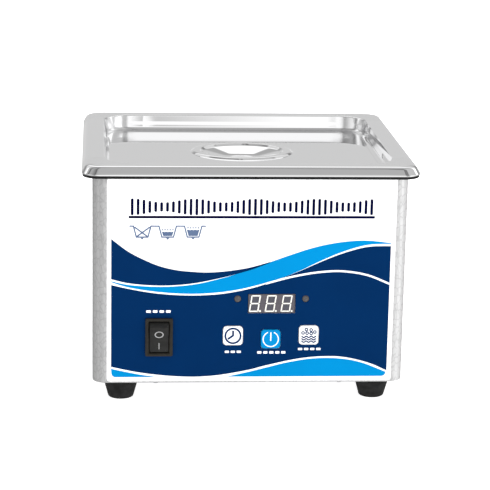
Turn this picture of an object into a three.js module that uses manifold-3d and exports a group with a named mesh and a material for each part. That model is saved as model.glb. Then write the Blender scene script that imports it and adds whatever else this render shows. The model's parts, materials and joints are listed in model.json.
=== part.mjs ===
// Bench-top ultrasonic cleaner of the 1.3 litre class, with a lift-off lid.
// Millimetres, +Z up, +X to the right, front panel towards -Y.
// The origin is on the floor, under the middle of the lid.

import * as THREE from 'three';
import { mergeVertices } from 'three/addons/utils/BufferGeometryUtils.js';
import Module from 'manifold-3d';

const wasm = await Module();
wasm.setup();

// ---------------------------------------------------------------- driving dimensions, mm
const FIT = 0.3;                  // clearance between neighbouring pieces
const HOLE_GAP = 2 * FIT;         // how much larger a hole is than what passes through it
const LID_WIDTH = 175;
const LID_DEPTH = 160;
const LID_TOP = 127.4;
const LID_CORNER = 9;
const LID_SHEET = 0.8;
const LID_HEM = 122.4;            // lower edge of the lid's skirt
const PAN_DEPTH = 8.2;            // how far the lid's pan is sunk below its rim
const CASING_WIDTH = 164;
const CASING_DEPTH = 149;
const CASING_CORNER = 7;
const CASING_SHEET = 1;
const CASING_BOTTOM = 10.6;
const CASING_TOP = 121.1;
const CASING_LIP = 11.9;          // underside of the lips that the bottom plate is screwed to
const LIP_REACH = 9.5;            // how far the front and rear lips run inwards, buried part included
const SIDE_LIP_REACH = 8.5;
const LIP_LENGTH = 116;
const SIDE_LIP_LENGTH = 96;
const VENT_COUNT = 7;
const VENT_SIZE = [3, 24];
const VENT_PITCH = 8;
const FIRST_VENT = [-62, 35];
const PLATE_THICKNESS = 1;
const TANK_FLOOR = 61.4;
const TANK_SHEET = 0.8;
const TANK_FLANGE = 123.5;        // top of the tank's flange
const FRONT = -CASING_DEPTH / 2;  // outer face of the casing's front wall
const REAR = CASING_DEPTH / 2;
const OVERLAY_FACE = FRONT - 0.4;
const OVERLAY_THICKNESS = 0.3;
const OVERLAY_WIDTH = 150;
const OVERLAY_HEIGHT = 109.2;
const OVERLAY_MIDDLE = [0.5, 66.2];
const OVERLAY_CORNER = 1.5;

// controls on the front panel: middle of each, as [x, z]
const SWITCH_AT = [-47.3, 35.9];
const DISPLAY_AT = [11.4, 53.9];
const LED_AT = { led_left: [-6.4, 56.4], led_right: [29.2, 56.4] };
const KEY_AT = { time_key: [-8.6, 36.5], on_off_key: [11.3, 34.6], degas_key: [31.3, 36.7] };
const KEY_SIZE = 10.2;
const KEY_CORNER = 1.9;
const KEY_FLANGE = 12.7;
const KEY_FACE = FRONT - 1.1;
const KEY_BACK = FRONT + 2.2;
const DISPLAY_SIZE = [24.4, 9.9];
const DISPLAY_FACE = FRONT - 0.5;
const DISPLAY_CORNER = 0.5;
const LED_RADIUS = 1.8;
const BOARD_FACE = FRONT + 8.9;   // front of the control board
const BOARD_THICKNESS = 1.6;
const BOARD_SIZE = [66, 33];
const BOARD_AT = [11.3, 42];
const STUD_AT = [[-18.4, 29], [41, 29]];
const STUD_BORE = 1.3;

// rocker switch
const BEZEL_SIZE = [14.4, 20.4];
const BEZEL_FACE = FRONT - 2.3;
const SWITCH_BODY = [12.4, 19];
const SWITCH_BACK = FRONT + 14.5;
const SWITCH_CORNER = 0.5;
const TERMINAL_AT = [-5, 5];      // height of each blade terminal from the switch's middle
const ROCKER_PIVOT = FRONT + 1.03;
const ROCKER_WIDTH = 9.6;
const ROCKER_SWING = 12;          // degrees each side of the middle
const ROCKER_HALF_HEIGHT = 7.3;
const ROCKER_POCKET = 17;
const TRUNNION_RADIUS = 1.2;
const TRUNNION_LENGTH = 12;

// feet and screws
const FOOT_AT = [[-67, -63], [67, -63], [-67, 63], [67, 63]];
const FOOT_SCREW_RADIUS = 2;
const BOTTOM_SCREW_AT = [[-48.7, -69.5], [48.7, -69.5], [-48.7, 69.5], [48.7, 69.5]];
const BOTTOM_SCREW_RADIUS = 1.4;

// mains inlet on the rear wall
const INLET_AT = [48, 31];
const INLET_PLATE = [48, 22.5];
const INLET_BODY = [27, 19.6];
const INLET_SOCKET = [24.4, 16.6];
const INLET_FACE = REAR + 2.9;
const INLET_BACK = REAR - 17.5;
const INLET_PLATE_CORNER = 4;
const INLET_CHAMFER = 4.5;
const INLET_SCREW_REACH = 20;
const INLET_SCREW_HOLE = 1.8;
const BLADE_AT = [[-7, -2], [7, -2], [0, 2]];
const BLADE_SIZE = [2, 22, 4];

// driver board and what stands on it
const DRIVER_AT = [-53, 4];
const DRIVER_SIZE = [44, 96];
const DRIVER_UNDERSIDE = 17.6;
const DRIVER_THICKNESS = 1.6;
const DRIVER_TOP = DRIVER_UNDERSIDE + DRIVER_THICKNESS + FIT;
const PILLAR_AT = [[-17, -42], [17, 42]];
const FIN_COUNT = 6;
const FIN_PITCH = 7.68;
const SINK_HEIGHT = 24;
const CORE_MIDDLE = 11.5;         // middle of the transformer above the board

// ultrasonic transducer, a stack glued under the tank's floor
const STACK_TOP = TANK_FLOOR - TANK_SHEET - FIT;
const FRONT_MASS_HEIGHT = 17;
const PIEZO_RADIUS = 15;
const PIEZO_THICKNESS = 5;
const ELECTRODE_THICKNESS = 0.4;
const BACK_MASS_HEIGHT = 11;
const BOLT_RADIUS = 4.8;
const BOLT_HEAD = 4.5;
const BOLT_DEPTH = 11;            // how far the bolt reaches into the front mass

const look = (color, roughness, metalness) => new THREE.MeshStandardMaterial({ color, roughness, metalness });
const MIRROR_STEEL = look(0xc9c9cb, 0.12, 1);
const EMBOSSED_STEEL = look(0xb9b9bb, 0.35, 1);
const PLAIN_STEEL = look(0xa8a8aa, 0.4, 1);
const ALUMINIUM = look(0xb4b6b8, 0.45, 1);
const BRASS = look(0xb59a4c, 0.35, 1);
const COPPER = look(0xa8673a, 0.4, 1);
const BLACK_RUBBER = look(0x1c1c1c, 0.8, 0);
const BLACK_PLASTIC = look(0x262626, 0.45, 0);
const WHITE_PRINT = look(0xfafafa, 0.3, 0);
const CYAN_PLASTIC = look(0x0095dc, 0.35, 0);
const SMOKED_PLASTIC = look(0x4a444a, 0.25, 0);
const BOARD_GREEN = look(0x1f5a38, 0.5, 0);
const CERAMIC = look(0x8d857a, 0.6, 0);
const FERRITE = look(0x303234, 0.7, 0);
const BLUE_SLEEVE = look(0x1f3f7a, 0.4, 0);
const YELLOW_TAPE = look(0xc9a53a, 0.5, 0);
const RED_DIP = look(0x9c2a1e, 0.3, 0);

// ---------------------------------------------------------------- shapes and solids
function roundedRect(width, height, radius, [cx, cy] = [0, 0]) {
  const x = width / 2 - radius;
  const y = height / 2 - radius;
  const shape = new THREE.Shape();
  shape.absarc(cx + x, cy - y, radius, -Math.PI / 2, 0);
  shape.absarc(cx + x, cy + y, radius, 0, Math.PI / 2);
  shape.absarc(cx - x, cy + y, radius, Math.PI / 2, Math.PI);
  shape.absarc(cx - x, cy - y, radius, Math.PI, 1.5 * Math.PI);
  return shape;
}

function circle(radius, at = [0, 0]) {
  return roundedRect(2 * radius, 2 * radius, radius, at);
}

function polygon(points) {
  return new THREE.Shape(points.map(([x, y]) => new THREE.Vector2(x, y)));
}

// a shape in the XY plane, made solid from height low to height high
function upright(shape, low, high, curveSegments = 2) {
  const options = { depth: high - low, bevelEnabled: false, curveSegments };
  return new THREE.ExtrudeGeometry(shape, options).translate(0, 0, low);
}

// a shape in the XZ plane, made solid from the nearer face to the farther one along Y
function facing(shape, near, far, curveSegments = 2) {
  const options = { depth: far - near, bevelEnabled: false, curveSegments };
  return new THREE.ExtrudeGeometry(shape, options).rotateX(Math.PI / 2).translate(0, far, 0);
}

function box(width, depth, height, [x, y, z]) {
  return new THREE.BoxGeometry(width, depth, height).translate(x, y, z);
}

// a profile of [radius, height] pairs turned about the Z axis
function turned(profile, segments = 20) {
  return turnedAlongY(profile, segments).rotateX(Math.PI / 2);
}

// a profile of [radius, y] pairs turned about the Y axis
function turnedAlongY(profile, segments = 20) {
  return new THREE.LatheGeometry(profile.map(([r, y]) => new THREE.Vector2(r, y)), segments);
}

// a ring with a square section turned about the Z axis
function washer(inner, outer, low, high, segments = 24) {
  return turned([[inner, low], [outer, low], [outer, high], [inner, high], [inner, low]], segments);
}

function toSolid(geometry) {
  const plain = geometry.clone();
  plain.deleteAttribute('normal');
  plain.deleteAttribute('uv');
  const merged = mergeVertices(plain, 1e-4);
  const corners = [];
  for (let i = 0; i < merged.index.count; i += 3) {
    const [a, b, c] = [0, 1, 2].map((k) => merged.index.getX(i + k));
    if (a !== b && b !== c && c !== a) corners.push(a, b, c);
  }
  const vertProperties = new Float32Array(merged.attributes.position.array);
  return new wasm.Manifold(new wasm.Mesh({ numProp: 3, vertProperties, triVerts: new Uint32Array(corners) }));
}

function toGeometry(solid) {
  const mesh = solid.getMesh();
  const geometry = new THREE.BufferGeometry();
  geometry.setAttribute('position', new THREE.BufferAttribute(new Float32Array(mesh.vertProperties), 3));
  geometry.setIndex(new THREE.BufferAttribute(new Uint32Array(mesh.triVerts), 1));
  geometry.computeVertexNormals();
  return geometry;
}

function join(...pieces) {
  return toGeometry(pieces.map(toSolid).reduce((sum, piece) => sum.add(piece)));
}

function cut(blank, ...tools) {
  return toGeometry(tools.map(toSolid).reduce((rest, tool) => rest.subtract(tool), toSolid(blank)));
}

const CORNER_STEPS = 4;
const SIDE_STEPS = 8;

// one ring of points round a rounded rectangle, the same number whatever its size
function rectangleRing(width, depth, radius, z) {
  const x = width / 2 - radius;
  const y = depth / 2 - radius;
  const centres = [[x, y], [-x, y], [-x, -y], [x, -y]];
  const ring = [];
  centres.forEach(([cx, cy], corner) => {
    for (let step = 0; step <= CORNER_STEPS; step += 1) {
      const angle = (corner + step / CORNER_STEPS) * Math.PI / 2;
      ring.push([cx + radius * Math.cos(angle), cy + radius * Math.sin(angle), z]);
    }
    const [fromX, fromY] = ring[ring.length - 1];
    const [nextX, nextY] = centres[(corner + 1) % 4];
    const turn = (corner + 1) * Math.PI / 2;
    const toX = nextX + radius * Math.cos(turn);
    const toY = nextY + radius * Math.sin(turn);
    for (let step = 1; step < SIDE_STEPS; step += 1) {
      const t = step / SIDE_STEPS;
      ring.push([fromX + (toX - fromX) * t, fromY + (toY - fromY) * t, z]);
    }
  });
  return ring;
}

// a round ring whose points lie in the directions of a rectangle ring's points
function roundRing(radius, z, guide) {
  return guide.map(([x, y]) => {
    const reach = Math.hypot(x, y);
    return [x / reach * radius, y / reach * radius, z];
  });
}

// a closed skin over rings that run from a top middle point, outwards, and back to a bottom one
function skin(topMiddle, rings, bottomMiddle) {
  const count = rings[0].length;
  const points = [[0, 0, topMiddle], ...rings.flat(), [0, 0, bottomMiddle]];
  const last = points.length - 1;
  const corners = [];
  for (let i = 0; i < count; i += 1) {
    const j = (i + 1) % count;
    corners.push(0, 1 + i, 1 + j);
    for (let ring = 0; ring < rings.length - 1; ring += 1) {
      const inner = 1 + ring * count;
      const outer = inner + count;
      corners.push(inner + i, outer + i, outer + j, inner + i, outer + j, inner + j);
    }
    const final = last - count;
    corners.push(final + i, last, final + j);
  }
  const geometry = new THREE.BufferGeometry();
  geometry.setAttribute('position', new THREE.Float32BufferAttribute(points.flat(), 3));
  geometry.setIndex(corners);
  geometry.computeVertexNormals();
  return geometry;
}

// a round lead along a smooth curve through hand-chosen points
function lead(points, radius, steps) {
  const path = new THREE.CatmullRomCurve3(points.map((point) => new THREE.Vector3(...point)));
  const sweep = { extrudePath: path, steps, curveSegments: 1, bevelEnabled: false };
  return new THREE.ExtrudeGeometry(circle(radius), sweep);
}

// ---------------------------------------------------------------- casing, tank and lid
const cleaner = new THREE.Group();

function place(name, geometry, material, position = [0, 0, 0]) {
  const mesh = new THREE.Mesh(geometry, material);
  mesh.name = name;
  mesh.position.set(...position);
  cleaner.add(mesh);
}

// outlines of the openings that the casing's front wall and the overlay share
function controlHoles() {
  const [switchWidth, switchHeight] = SWITCH_BODY;
  const [displayWidth, displayHeight] = DISPLAY_SIZE;
  const keyHole = KEY_SIZE + HOLE_GAP;
  return [
    roundedRect(switchWidth + HOLE_GAP, switchHeight + HOLE_GAP, SWITCH_CORNER + FIT, SWITCH_AT),
    roundedRect(displayWidth + HOLE_GAP, displayHeight + HOLE_GAP, DISPLAY_CORNER, DISPLAY_AT),
    ...Object.values(LED_AT).map((at) => circle(LED_RADIUS + FIT, at)),
    ...Object.values(KEY_AT).map((at) => roundedRect(keyHole, keyHole, KEY_CORNER + FIT, at)),
  ];
}

// openings in the casing's rear wall: the inlet, its two screws, and a row of upright vents
function rearHoles() {
  const [bodyWidth, bodyHeight] = INLET_BODY;
  const [inletX, inletZ] = INLET_AT;
  const [ventX, ventZ] = FIRST_VENT;
  const screws = [-1, 1].map((side) => circle(INLET_SCREW_HOLE, [inletX + side * INLET_SCREW_REACH, inletZ]));
  const vents = Array.from({ length: VENT_COUNT }, (_, slot) => (
    roundedRect(...VENT_SIZE, 1.4, [ventX + slot * VENT_PITCH, ventZ])
  ));
  return [roundedRect(bodyWidth + HOLE_GAP, bodyHeight + HOLE_GAP, 0.8, INLET_AT), ...screws, ...vents];
}

// lips at the foot of the four walls, turned inwards to carry the bottom plate
function casingLips() {
  const middle = CASING_LIP + CASING_SHEET / 2;
  const frontY = FRONT + 0.5 + LIP_REACH / 2;
  const sideX = CASING_WIDTH / 2 - 0.5 - SIDE_LIP_REACH / 2;
  return [-1, 1].flatMap((side) => [
    box(LIP_LENGTH, LIP_REACH, CASING_SHEET, [0, side * frontY, middle]),
    box(SIDE_LIP_REACH, SIDE_LIP_LENGTH, CASING_SHEET, [side * sideX, 0, middle]),
  ]);
}

// sheet-steel casing: four walls, lips at the bottom, and the openings for the controls
function casing() {
  const outline = roundedRect(CASING_WIDTH, CASING_DEPTH, CASING_CORNER);
  const innerWidth = CASING_WIDTH - 2 * CASING_SHEET;
  const innerDepth = CASING_DEPTH - 2 * CASING_SHEET;
  const inside = roundedRect(innerWidth, innerDepth, CASING_CORNER - CASING_SHEET);
  const blank = upright(outline, CASING_BOTTOM, CASING_TOP);
  const walls = cut(blank, upright(inside, CASING_BOTTOM - 1, CASING_TOP + 1));
  const through = (shape, wall, steps) => facing(shape, wall - 3, wall + 3, steps);
  const lipHoles = BOTTOM_SCREW_AT.map((at) => (
    upright(circle(BOTTOM_SCREW_RADIUS + FIT, at), CASING_LIP - 1, CASING_LIP + 2, 1)
  ));
  return cut(
    join(walls, ...casingLips()),
    ...controlHoles().map((shape) => through(shape, FRONT, 2)),
    ...rearHoles().map((shape) => through(shape, REAR, 1)),
    ...lipHoles,
  );
}

// flat plate that closes the casing from below, with two groups of vent slots
function bottomPlate() {
  const edge = CASING_SHEET + FIT;
  const outline = roundedRect(CASING_WIDTH - 2 * edge, CASING_DEPTH - 2 * edge, CASING_CORNER - edge);
  outline.holes.push(...FOOT_AT.map((at) => circle(FOOT_SCREW_RADIUS + FIT, at)));
  outline.holes.push(...BOTTOM_SCREW_AT.map((at) => circle(BOTTOM_SCREW_RADIUS + FIT, at)));
  for (const side of [-1, 1]) {
    for (let slot = -2; slot <= 2; slot += 1) {
      outline.holes.push(roundedRect(24, 3, 1.4, [side * 30, slot * 10]));
    }
  }
  return upright(outline, CASING_BOTTOM, CASING_BOTTOM + PLATE_THICKNESS, 1);
}

// printed sheet on the front wall, pierced for every control
function overlay() {
  const sheet = roundedRect(OVERLAY_WIDTH, OVERLAY_HEIGHT, OVERLAY_CORNER, OVERLAY_MIDDLE);
  sheet.holes.push(...controlHoles());
  return facing(sheet, OVERLAY_FACE, OVERLAY_FACE + OVERLAY_THICKNESS);
}

// deep-drawn tank with a flat flange; rows are [width, depth, corner radius, height]
function tank() {
  const under = TANK_FLANGE - TANK_SHEET;
  const inside = [
    [126, 111, 14, TANK_FLOOR],
    [138, 123, 18, TANK_FLOOR + 1.6],
    [146, 131, 20, TANK_FLOOR + 6],
    [148.4, 133.4, 20.5, TANK_FLOOR + 12],
    [153.4, 138.4, 16.5, TANK_FLANGE - 1.4],
    [155.6, 140.6, 17.5, TANK_FLANGE],
  ];
  const flangeEdge = [[169, 154, 7, TANK_FLANGE], [169, 154, 7, under]];
  const outside = [
    [156.8, 141.8, 18.1, under],
    [155, 140, 17.3, TANK_FLANGE - 2],
    [150, 135, 21.3, TANK_FLOOR + 12],
    [147.4, 132.4, 20.7, TANK_FLOOR + 5.6],
    [138.8, 123.8, 18.4, TANK_FLOOR + 0.8],
    [126.4, 111.4, 14.2, TANK_FLOOR - TANK_SHEET],
  ];
  const rings = [...inside, ...flangeEdge, ...outside].map((row) => rectangleRing(...row));
  return skin(TANK_FLOOR, rings, TANK_FLOOR - TANK_SHEET);
}

// rubber channel pushed over the edge of the tank's flange; its lower lip shows under the lid
function rimGasket() {
  const ring = (outer, inner, low, high) => {
    const shape = roundedRect(...outer);
    shape.holes.push(roundedRect(...inner));
    return upright(shape, low, high);
  };
  const lower = ring([174.2, 159.2, 8.6], [158.4, 143.4, 17], CASING_TOP + FIT, LID_HEM - 0.2);
  const web = ring([171.8, 156.8, 7.8], [169.6, 154.6, 7.3], CASING_TOP + 0.7, TANK_FLANGE + 0.9);
  const upper = ring([171.8, 156.8, 7.8], [163, 148, 8], TANK_FLANGE + FIT, TANK_FLANGE + 1.1);
  return join(lower, web, upper);
}

// pressed lid: flared skirt, flat rim, sunken pan, and a round grip in the middle of the pan;
// rows are [distance in from the hem, corner radius, height], and [radius, height] for the grip
function lid() {
  const floor = LID_TOP - PAN_DEPTH;
  const under = floor - LID_SHEET;
  const rim = LID_TOP - LID_SHEET;
  const round = (rows) => rows.map(([radius, z]) => roundRing(radius, z, rectangleRing(144, 129, 12, floor)));
  const inset = (rows) => rows.map(([distance, corner, z]) => (
    rectangleRing(LID_WIDTH - 2 * distance, LID_DEPTH - 2 * distance, corner, z)
  ));
  const gripTop = [
    [8, floor - 2.8],
    [14.5, floor - 0.9],
    [19.2, floor + 1],
    [25.6, floor + 1],
    [28.7, floor],
  ];
  const panTop = [
    [15.4, 12, floor],
    [13.9, 13, floor + 0.5],
    [13.2, 13.5, floor + 1.5],
    [12, 14.7, LID_TOP - 1.1],
    [11.5, 15.4, LID_TOP - 0.3],
    [10.8, 16, LID_TOP],
  ];
  const skirt = [
    [2.8, 7.6, LID_TOP],
    [2.05, 8, LID_TOP - 0.2],
    [1.5, 8.3, LID_TOP - 0.8],
    [0, LID_CORNER, LID_TOP - 3.4],
    [0, LID_CORNER, LID_HEM],
    [0.8, 8.2, LID_HEM],
    [0.9, 8.1, LID_TOP - 3.5],
    [2.2, 7.5, rim - 0.4],
    [2.8, 7, rim],
  ];
  const panUnder = [
    [10.4, 16.4, rim],
    [10.9, 16, rim - 0.4],
    [11.2, 15.5, rim - 1.1],
    [12.4, 14.3, under + 2],
    [13.3, 13.6, under + 0.5],
    [15.2, 12.2, under],
  ];
  const gripUnder = [
    [29.2, under],
    [26, under + 1],
    [18.8, under + 1],
    [14, under - 1],
    [7.8, under - 2.8],
  ];
  const rings = [...round(gripTop), ...inset([...panTop, ...skirt, ...panUnder]), ...round(gripUnder)];
  return skin(floor - 3.6, rings, under - 3.6);
}

// rubber foot with a stepped hole for its screw
function foot() {
  const top = CASING_BOTTOM - FIT;
  const side = [[4.6, 0], [6.3, 0], [7, 0.9], [9.2, 9.4], [9.2, top]];
  const bore = [[2.4, top], [2.4, 4], [4.6, 4], [4.6, 0]];
  return turned([...side, ...bore], 16);
}

function footScrew() {
  const head = [[0, 1.3], [2.4, 1.5], [4, 2.6], [4, 3.7], [FOOT_SCREW_RADIUS, 3.7]];
  return turned([...head, [FOOT_SCREW_RADIUS, 15], [0, 15]], 12);
}

function bottomScrew() {
  const seat = CASING_BOTTOM - 0.1;
  const dome = [[0, seat - 1.6], [1.3, seat - 1.4], [2.25, seat - 0.7], [2.25, seat]];
  const shank = [[BOTTOM_SCREW_RADIUS, seat], [BOTTOM_SCREW_RADIUS, seat + 5], [0, seat + 5.4]];
  return turned([...dome, ...shank], 12);
}

place('casing_wrap', casing(), EMBOSSED_STEEL);
place('bottom_plate', bottomPlate(), PLAIN_STEEL);
place('front_overlay', overlay(), WHITE_PRINT);
place('tank', tank(), MIRROR_STEEL);
place('rim_gasket', rimGasket(), BLACK_RUBBER);
place('lid', lid(), MIRROR_STEEL);
FOOT_AT.forEach(([x, y], i) => {
  place(`foot_${i + 1}`, foot(), BLACK_RUBBER, [x, y, 0]);
  place(`foot_screw_${i + 1}`, footScrew(), PLAIN_STEEL, [x, y, 0]);
});
BOTTOM_SCREW_AT.forEach(([x, y], i) => {
  place(`bottom_screw_${i + 1}`, bottomScrew(), PLAIN_STEEL, [x, y, 0]);
});

// ---------------------------------------------------------------- front panel
// a cylinder across the switch, on the rocker's pivot
function crossPin(radius, length) {
  return new THREE.CylinderGeometry(radius, radius, length, 14).rotateZ(Math.PI / 2);
}

// rocker switch: bezel and body in one moulding, with a pocket and bearings for the rocker
function switchHousing() {
  const bezel = facing(roundedRect(...BEZEL_SIZE, 0.8), BEZEL_FACE, OVERLAY_FACE - 0.2);
  const body = facing(roundedRect(...SWITCH_BODY, SWITCH_CORNER), OVERLAY_FACE - 0.3, SWITCH_BACK);
  const pocketShape = roundedRect(ROCKER_WIDTH + HOLE_GAP, ROCKER_POCKET, 0.4);
  const pocket = facing(pocketShape, BEZEL_FACE - 1, ROCKER_PIVOT + 4);
  const bearings = crossPin(TRUNNION_RADIUS + FIT, 20).translate(0, ROCKER_PIVOT, 0);
  const terminalSlots = TERMINAL_AT.map((z) => box(5.4, 3, 1.4, [0, SWITCH_BACK, z]));
  return cut(join(bezel, body), pocket, bearings, ...terminalSlots);
}

// the rocker, in its own frame on the pivot, with its lower end pressed in
function rocker() {
  const tip = ROCKER_HALF_HEIGHT;
  const profile = polygon([[-4.68, tip], [-3, 0], [-4.68, -tip], [2, -6.3], [3, 0], [2, 6.3]]);
  const block = new THREE.ExtrudeGeometry(profile, { depth: ROCKER_WIDTH, bevelEnabled: false })
    .rotateY(Math.PI / 2).rotateX(Math.PI / 2).translate(-ROCKER_WIDTH / 2, 0, 0);
  const trunnions = crossPin(TRUNNION_RADIUS, TRUNNION_LENGTH);
  return join(block, trunnions).rotateX(THREE.MathUtils.degToRad(ROCKER_SWING));
}

// key cap with a flange that keeps it behind the front wall
function keyCap() {
  const cap = facing(roundedRect(KEY_SIZE, KEY_SIZE, KEY_CORNER), KEY_FACE, KEY_BACK);
  const flange = facing(roundedRect(KEY_FLANGE, KEY_FLANGE, 1.5), FRONT + CASING_SHEET + FIT, KEY_BACK);
  return join(cap, flange);
}

// push switch on the control board, in line with a key
function tactSwitch() {
  const body = facing(roundedRect(6, 6, 0.4), BOARD_FACE - 3.6, BOARD_FACE - 0.2);
  const plunger = facing(circle(1.7), KEY_BACK + 0.6, BOARD_FACE - 3.4);
  return join(body, plunger);
}

function lamp() {
  const end = BOARD_FACE - 0.2;
  const dome = [[0, FRONT - 1.1], [1.2, FRONT - 0.9], [LED_RADIUS, FRONT - 0.3]];
  return turnedAlongY([...dome, [LED_RADIUS, end], [0, end]], 16);
}

function displayModule() {
  return facing(roundedRect(...DISPLAY_SIZE, 0.2), DISPLAY_FACE, BOARD_FACE - 0.2);
}

function controlBoard() {
  const outline = roundedRect(...BOARD_SIZE, 1, BOARD_AT);
  outline.holes.push(...STUD_AT.map((at) => circle(STUD_BORE + 0.2, at)));
  return facing(outline, BOARD_FACE, BOARD_FACE + BOARD_THICKNESS);
}

function boardStud() {
  const wall = FRONT + CASING_SHEET + FIT;
  const end = BOARD_FACE - 0.2;
  return turnedAlongY([[STUD_BORE, wall], [2.5, wall], [2.5, end], [STUD_BORE, end], [STUD_BORE, wall]], 14);
}

const [switchX, switchZ] = SWITCH_AT;
const [displayX, displayZ] = DISPLAY_AT;
place('switch_housing', switchHousing(), BLACK_PLASTIC, [switchX, 0, switchZ]);
place('switch_rocker', rocker(), BLACK_PLASTIC, [switchX, ROCKER_PIVOT, switchZ]);
TERMINAL_AT.forEach((z, i) => {
  const blade = box(4.8, 9, 0.8, [0, SWITCH_BACK + 3.2, z]);
  place(`switch_terminal_${i + 1}`, blade, BRASS, [switchX, 0, switchZ]);
});
place('display_module', displayModule(), SMOKED_PLASTIC, [displayX, 0, displayZ]);
for (const [name, [x, z]] of Object.entries(LED_AT)) {
  place(name, lamp(), SMOKED_PLASTIC, [x, 0, z]);
}
for (const [name, [x, z]] of Object.entries(KEY_AT)) {
  place(name, keyCap(), name === 'on_off_key' ? CYAN_PLASTIC : WHITE_PRINT, [x, 0, z]);
  place(`${name}_switch`, tactSwitch(), BLACK_PLASTIC, [x, 0, z]);
}
place('control_board', controlBoard(), BOARD_GREEN);
STUD_AT.forEach(([x, z], i) => place(`board_stud_${i + 1}`, boardStud(), BRASS, [x, 0, z]));

// ---------------------------------------------------------------- mains inlet
// flanged plate, body and an open socket that the blades stand in
function mainsInlet() {
  const [x, z] = INLET_SOCKET.map((size) => size / 2);
  const [cutX, cutZ] = [x - INLET_CHAMFER, z - INLET_CHAMFER];
  const mouth = polygon([[-x, -z], [x, -z], [x, cutZ], [cutX, z], [-cutX, z], [-x, cutZ]]);
  const plate = facing(roundedRect(...INLET_PLATE, INLET_PLATE_CORNER), REAR + 0.4, INLET_FACE);
  const body = facing(roundedRect(...INLET_BODY, 1), INLET_BACK, REAR + 1);
  const socket = facing(mouth, INLET_BACK + 2.5, INLET_FACE + 1);
  const bladeSlots = BLADE_AT.map(([bladeX, bladeZ]) => box(2.6, 12, 4.6, [bladeX, INLET_BACK, bladeZ]));
  const screwHoles = [-1, 1].map((side) => (
    facing(circle(INLET_SCREW_HOLE, [side * INLET_SCREW_REACH, 0]), REAR, INLET_FACE + 1)
  ));
  return cut(join(plate, body), socket, ...bladeSlots, ...screwHoles);
}

function inletBlade() {
  return box(...BLADE_SIZE, [0, INLET_BACK + 4, 0]);
}

function inletScrew() {
  const seat = INLET_FACE + 0.1;
  const head = [[1.4, seat], [2.7, seat], [2.5, seat + 1], [1.2, seat + 1.7], [0, seat + 1.8]];
  return turnedAlongY([[0, REAR - 7], [1.4, REAR - 6.6], ...head], 14);
}

const [inletX, inletZ] = INLET_AT;
place('mains_inlet', mainsInlet(), BLACK_PLASTIC, [inletX, 0, inletZ]);
BLADE_AT.forEach(([x, z], i) => {
  place(`inlet_blade_${i + 1}`, inletBlade(), BRASS, [inletX + x, 0, inletZ + z]);
});
[-1, 1].forEach((side, i) => {
  place(`inlet_screw_${i + 1}`, inletScrew(), PLAIN_STEEL, [inletX + side * INLET_SCREW_REACH, 0, inletZ]);
});

// ---------------------------------------------------------------- driver board
function driverBoard() {
  return upright(roundedRect(...DRIVER_SIZE, 1.5), DRIVER_UNDERSIDE, DRIVER_UNDERSIDE + DRIVER_THICKNESS);
}

function boardPillar() {
  return washer(1.5, 3, CASING_BOTTOM + PLATE_THICKNESS + FIT, DRIVER_UNDERSIDE - FIT, 14);
}

// fins standing on a common base, with room for the power transistor beside them
function heatSink() {
  const middle = SINK_HEIGHT / 2;
  const base = box(4, 40, SINK_HEIGHT, [0, 0, middle]);
  const firstFin = -FIN_PITCH * (FIN_COUNT - 1) / 2;
  const fins = Array.from({ length: FIN_COUNT }, (_, fin) => (
    box(12.2, 1.6, SINK_HEIGHT, [-7.9, firstFin + fin * FIN_PITCH, middle])
  ));
  return join(base, ...fins);
}

function transformerCore() {
  const frame = box(26, 26, 7, [0, 0, CORE_MIDDLE]);
  const windows = [-1, 1].map((side) => box(6.4, 18.6, 9, [side * 6.7, 0, CORE_MIDDLE]));
  return cut(frame, ...windows);
}

// winding on a square bobbin round the middle leg of the core
function transformerWinding() {
  const outer = box(19, 18, 18, [0, 0, CORE_MIDDLE]);
  const leg = box(7.6, 22, 7.6, [0, 0, CORE_MIDDLE]);
  return cut(outer, leg);
}

function smoothingCapacitor() {
  return turned([[0, 0], [7.8, 0], [8, 0.4], [8, 24.4], [7.4, 25], [0, 25]], 20);
}

const [driverX, driverY] = DRIVER_AT;
const onBoard = (x, y) => [driverX + x, driverY + y, DRIVER_TOP];
place('driver_board', driverBoard(), BOARD_GREEN, [driverX, driverY, 0]);
PILLAR_AT.forEach(([x, y], i) => {
  place(`board_pillar_${i + 1}`, boardPillar(), BRASS, [driverX + x, driverY + y, 0]);
});
place('transformer_core', transformerCore(), FERRITE, onBoard(6, -30));
place('transformer_winding', transformerWinding(), YELLOW_TAPE, onBoard(6, -30));
place('choke', washer(5, 10, 0, 10, 24), COPPER, onBoard(10, 32));
place('smoothing_capacitor', smoothingCapacitor(), BLUE_SLEEVE, onBoard(-12, 38));
place('film_capacitor', box(18, 8, 14, [0, 0, 7]), RED_DIP, onBoard(12, 8));
place('heat_sink', heatSink(), ALUMINIUM, onBoard(-6, 6));
place('power_transistor', box(4.4, 10, 15, [0, 0, 10]), BLACK_PLASTIC, onBoard(-1.5, 1));

// ---------------------------------------------------------------- transducer, from the tank downwards
const frontMassLow = STACK_TOP - FRONT_MASS_HEIGHT;
const upperRingTop = frontMassLow - FIT;
const electrodeTop = upperRingTop - PIEZO_THICKNESS - FIT;
const lowerRingTop = electrodeTop - ELECTRODE_THICKNESS - FIT;
const backMassTop = lowerRingTop - PIEZO_THICKNESS - FIT;
const backMassLow = backMassTop - BACK_MASS_HEIGHT;
const boltHole = BOLT_RADIUS + FIT;
const ringHole = boltHole + 1;

// cone that widens towards the tank, with a blind hole for the bolt
function frontMass() {
  const neck = [[boltHole, frontMassLow], [16, frontMassLow], [16, frontMassLow + 4]];
  const face = [[22.5, STACK_TOP - 4], [22.5, STACK_TOP], [0, STACK_TOP]];
  const holeEnd = frontMassLow + BOLT_DEPTH + 1;
  const hole = [[0, holeEnd], [boltHole, holeEnd], [boltHole, frontMassLow]];
  return turned([...neck, ...face, ...hole], 24);
}

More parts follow.
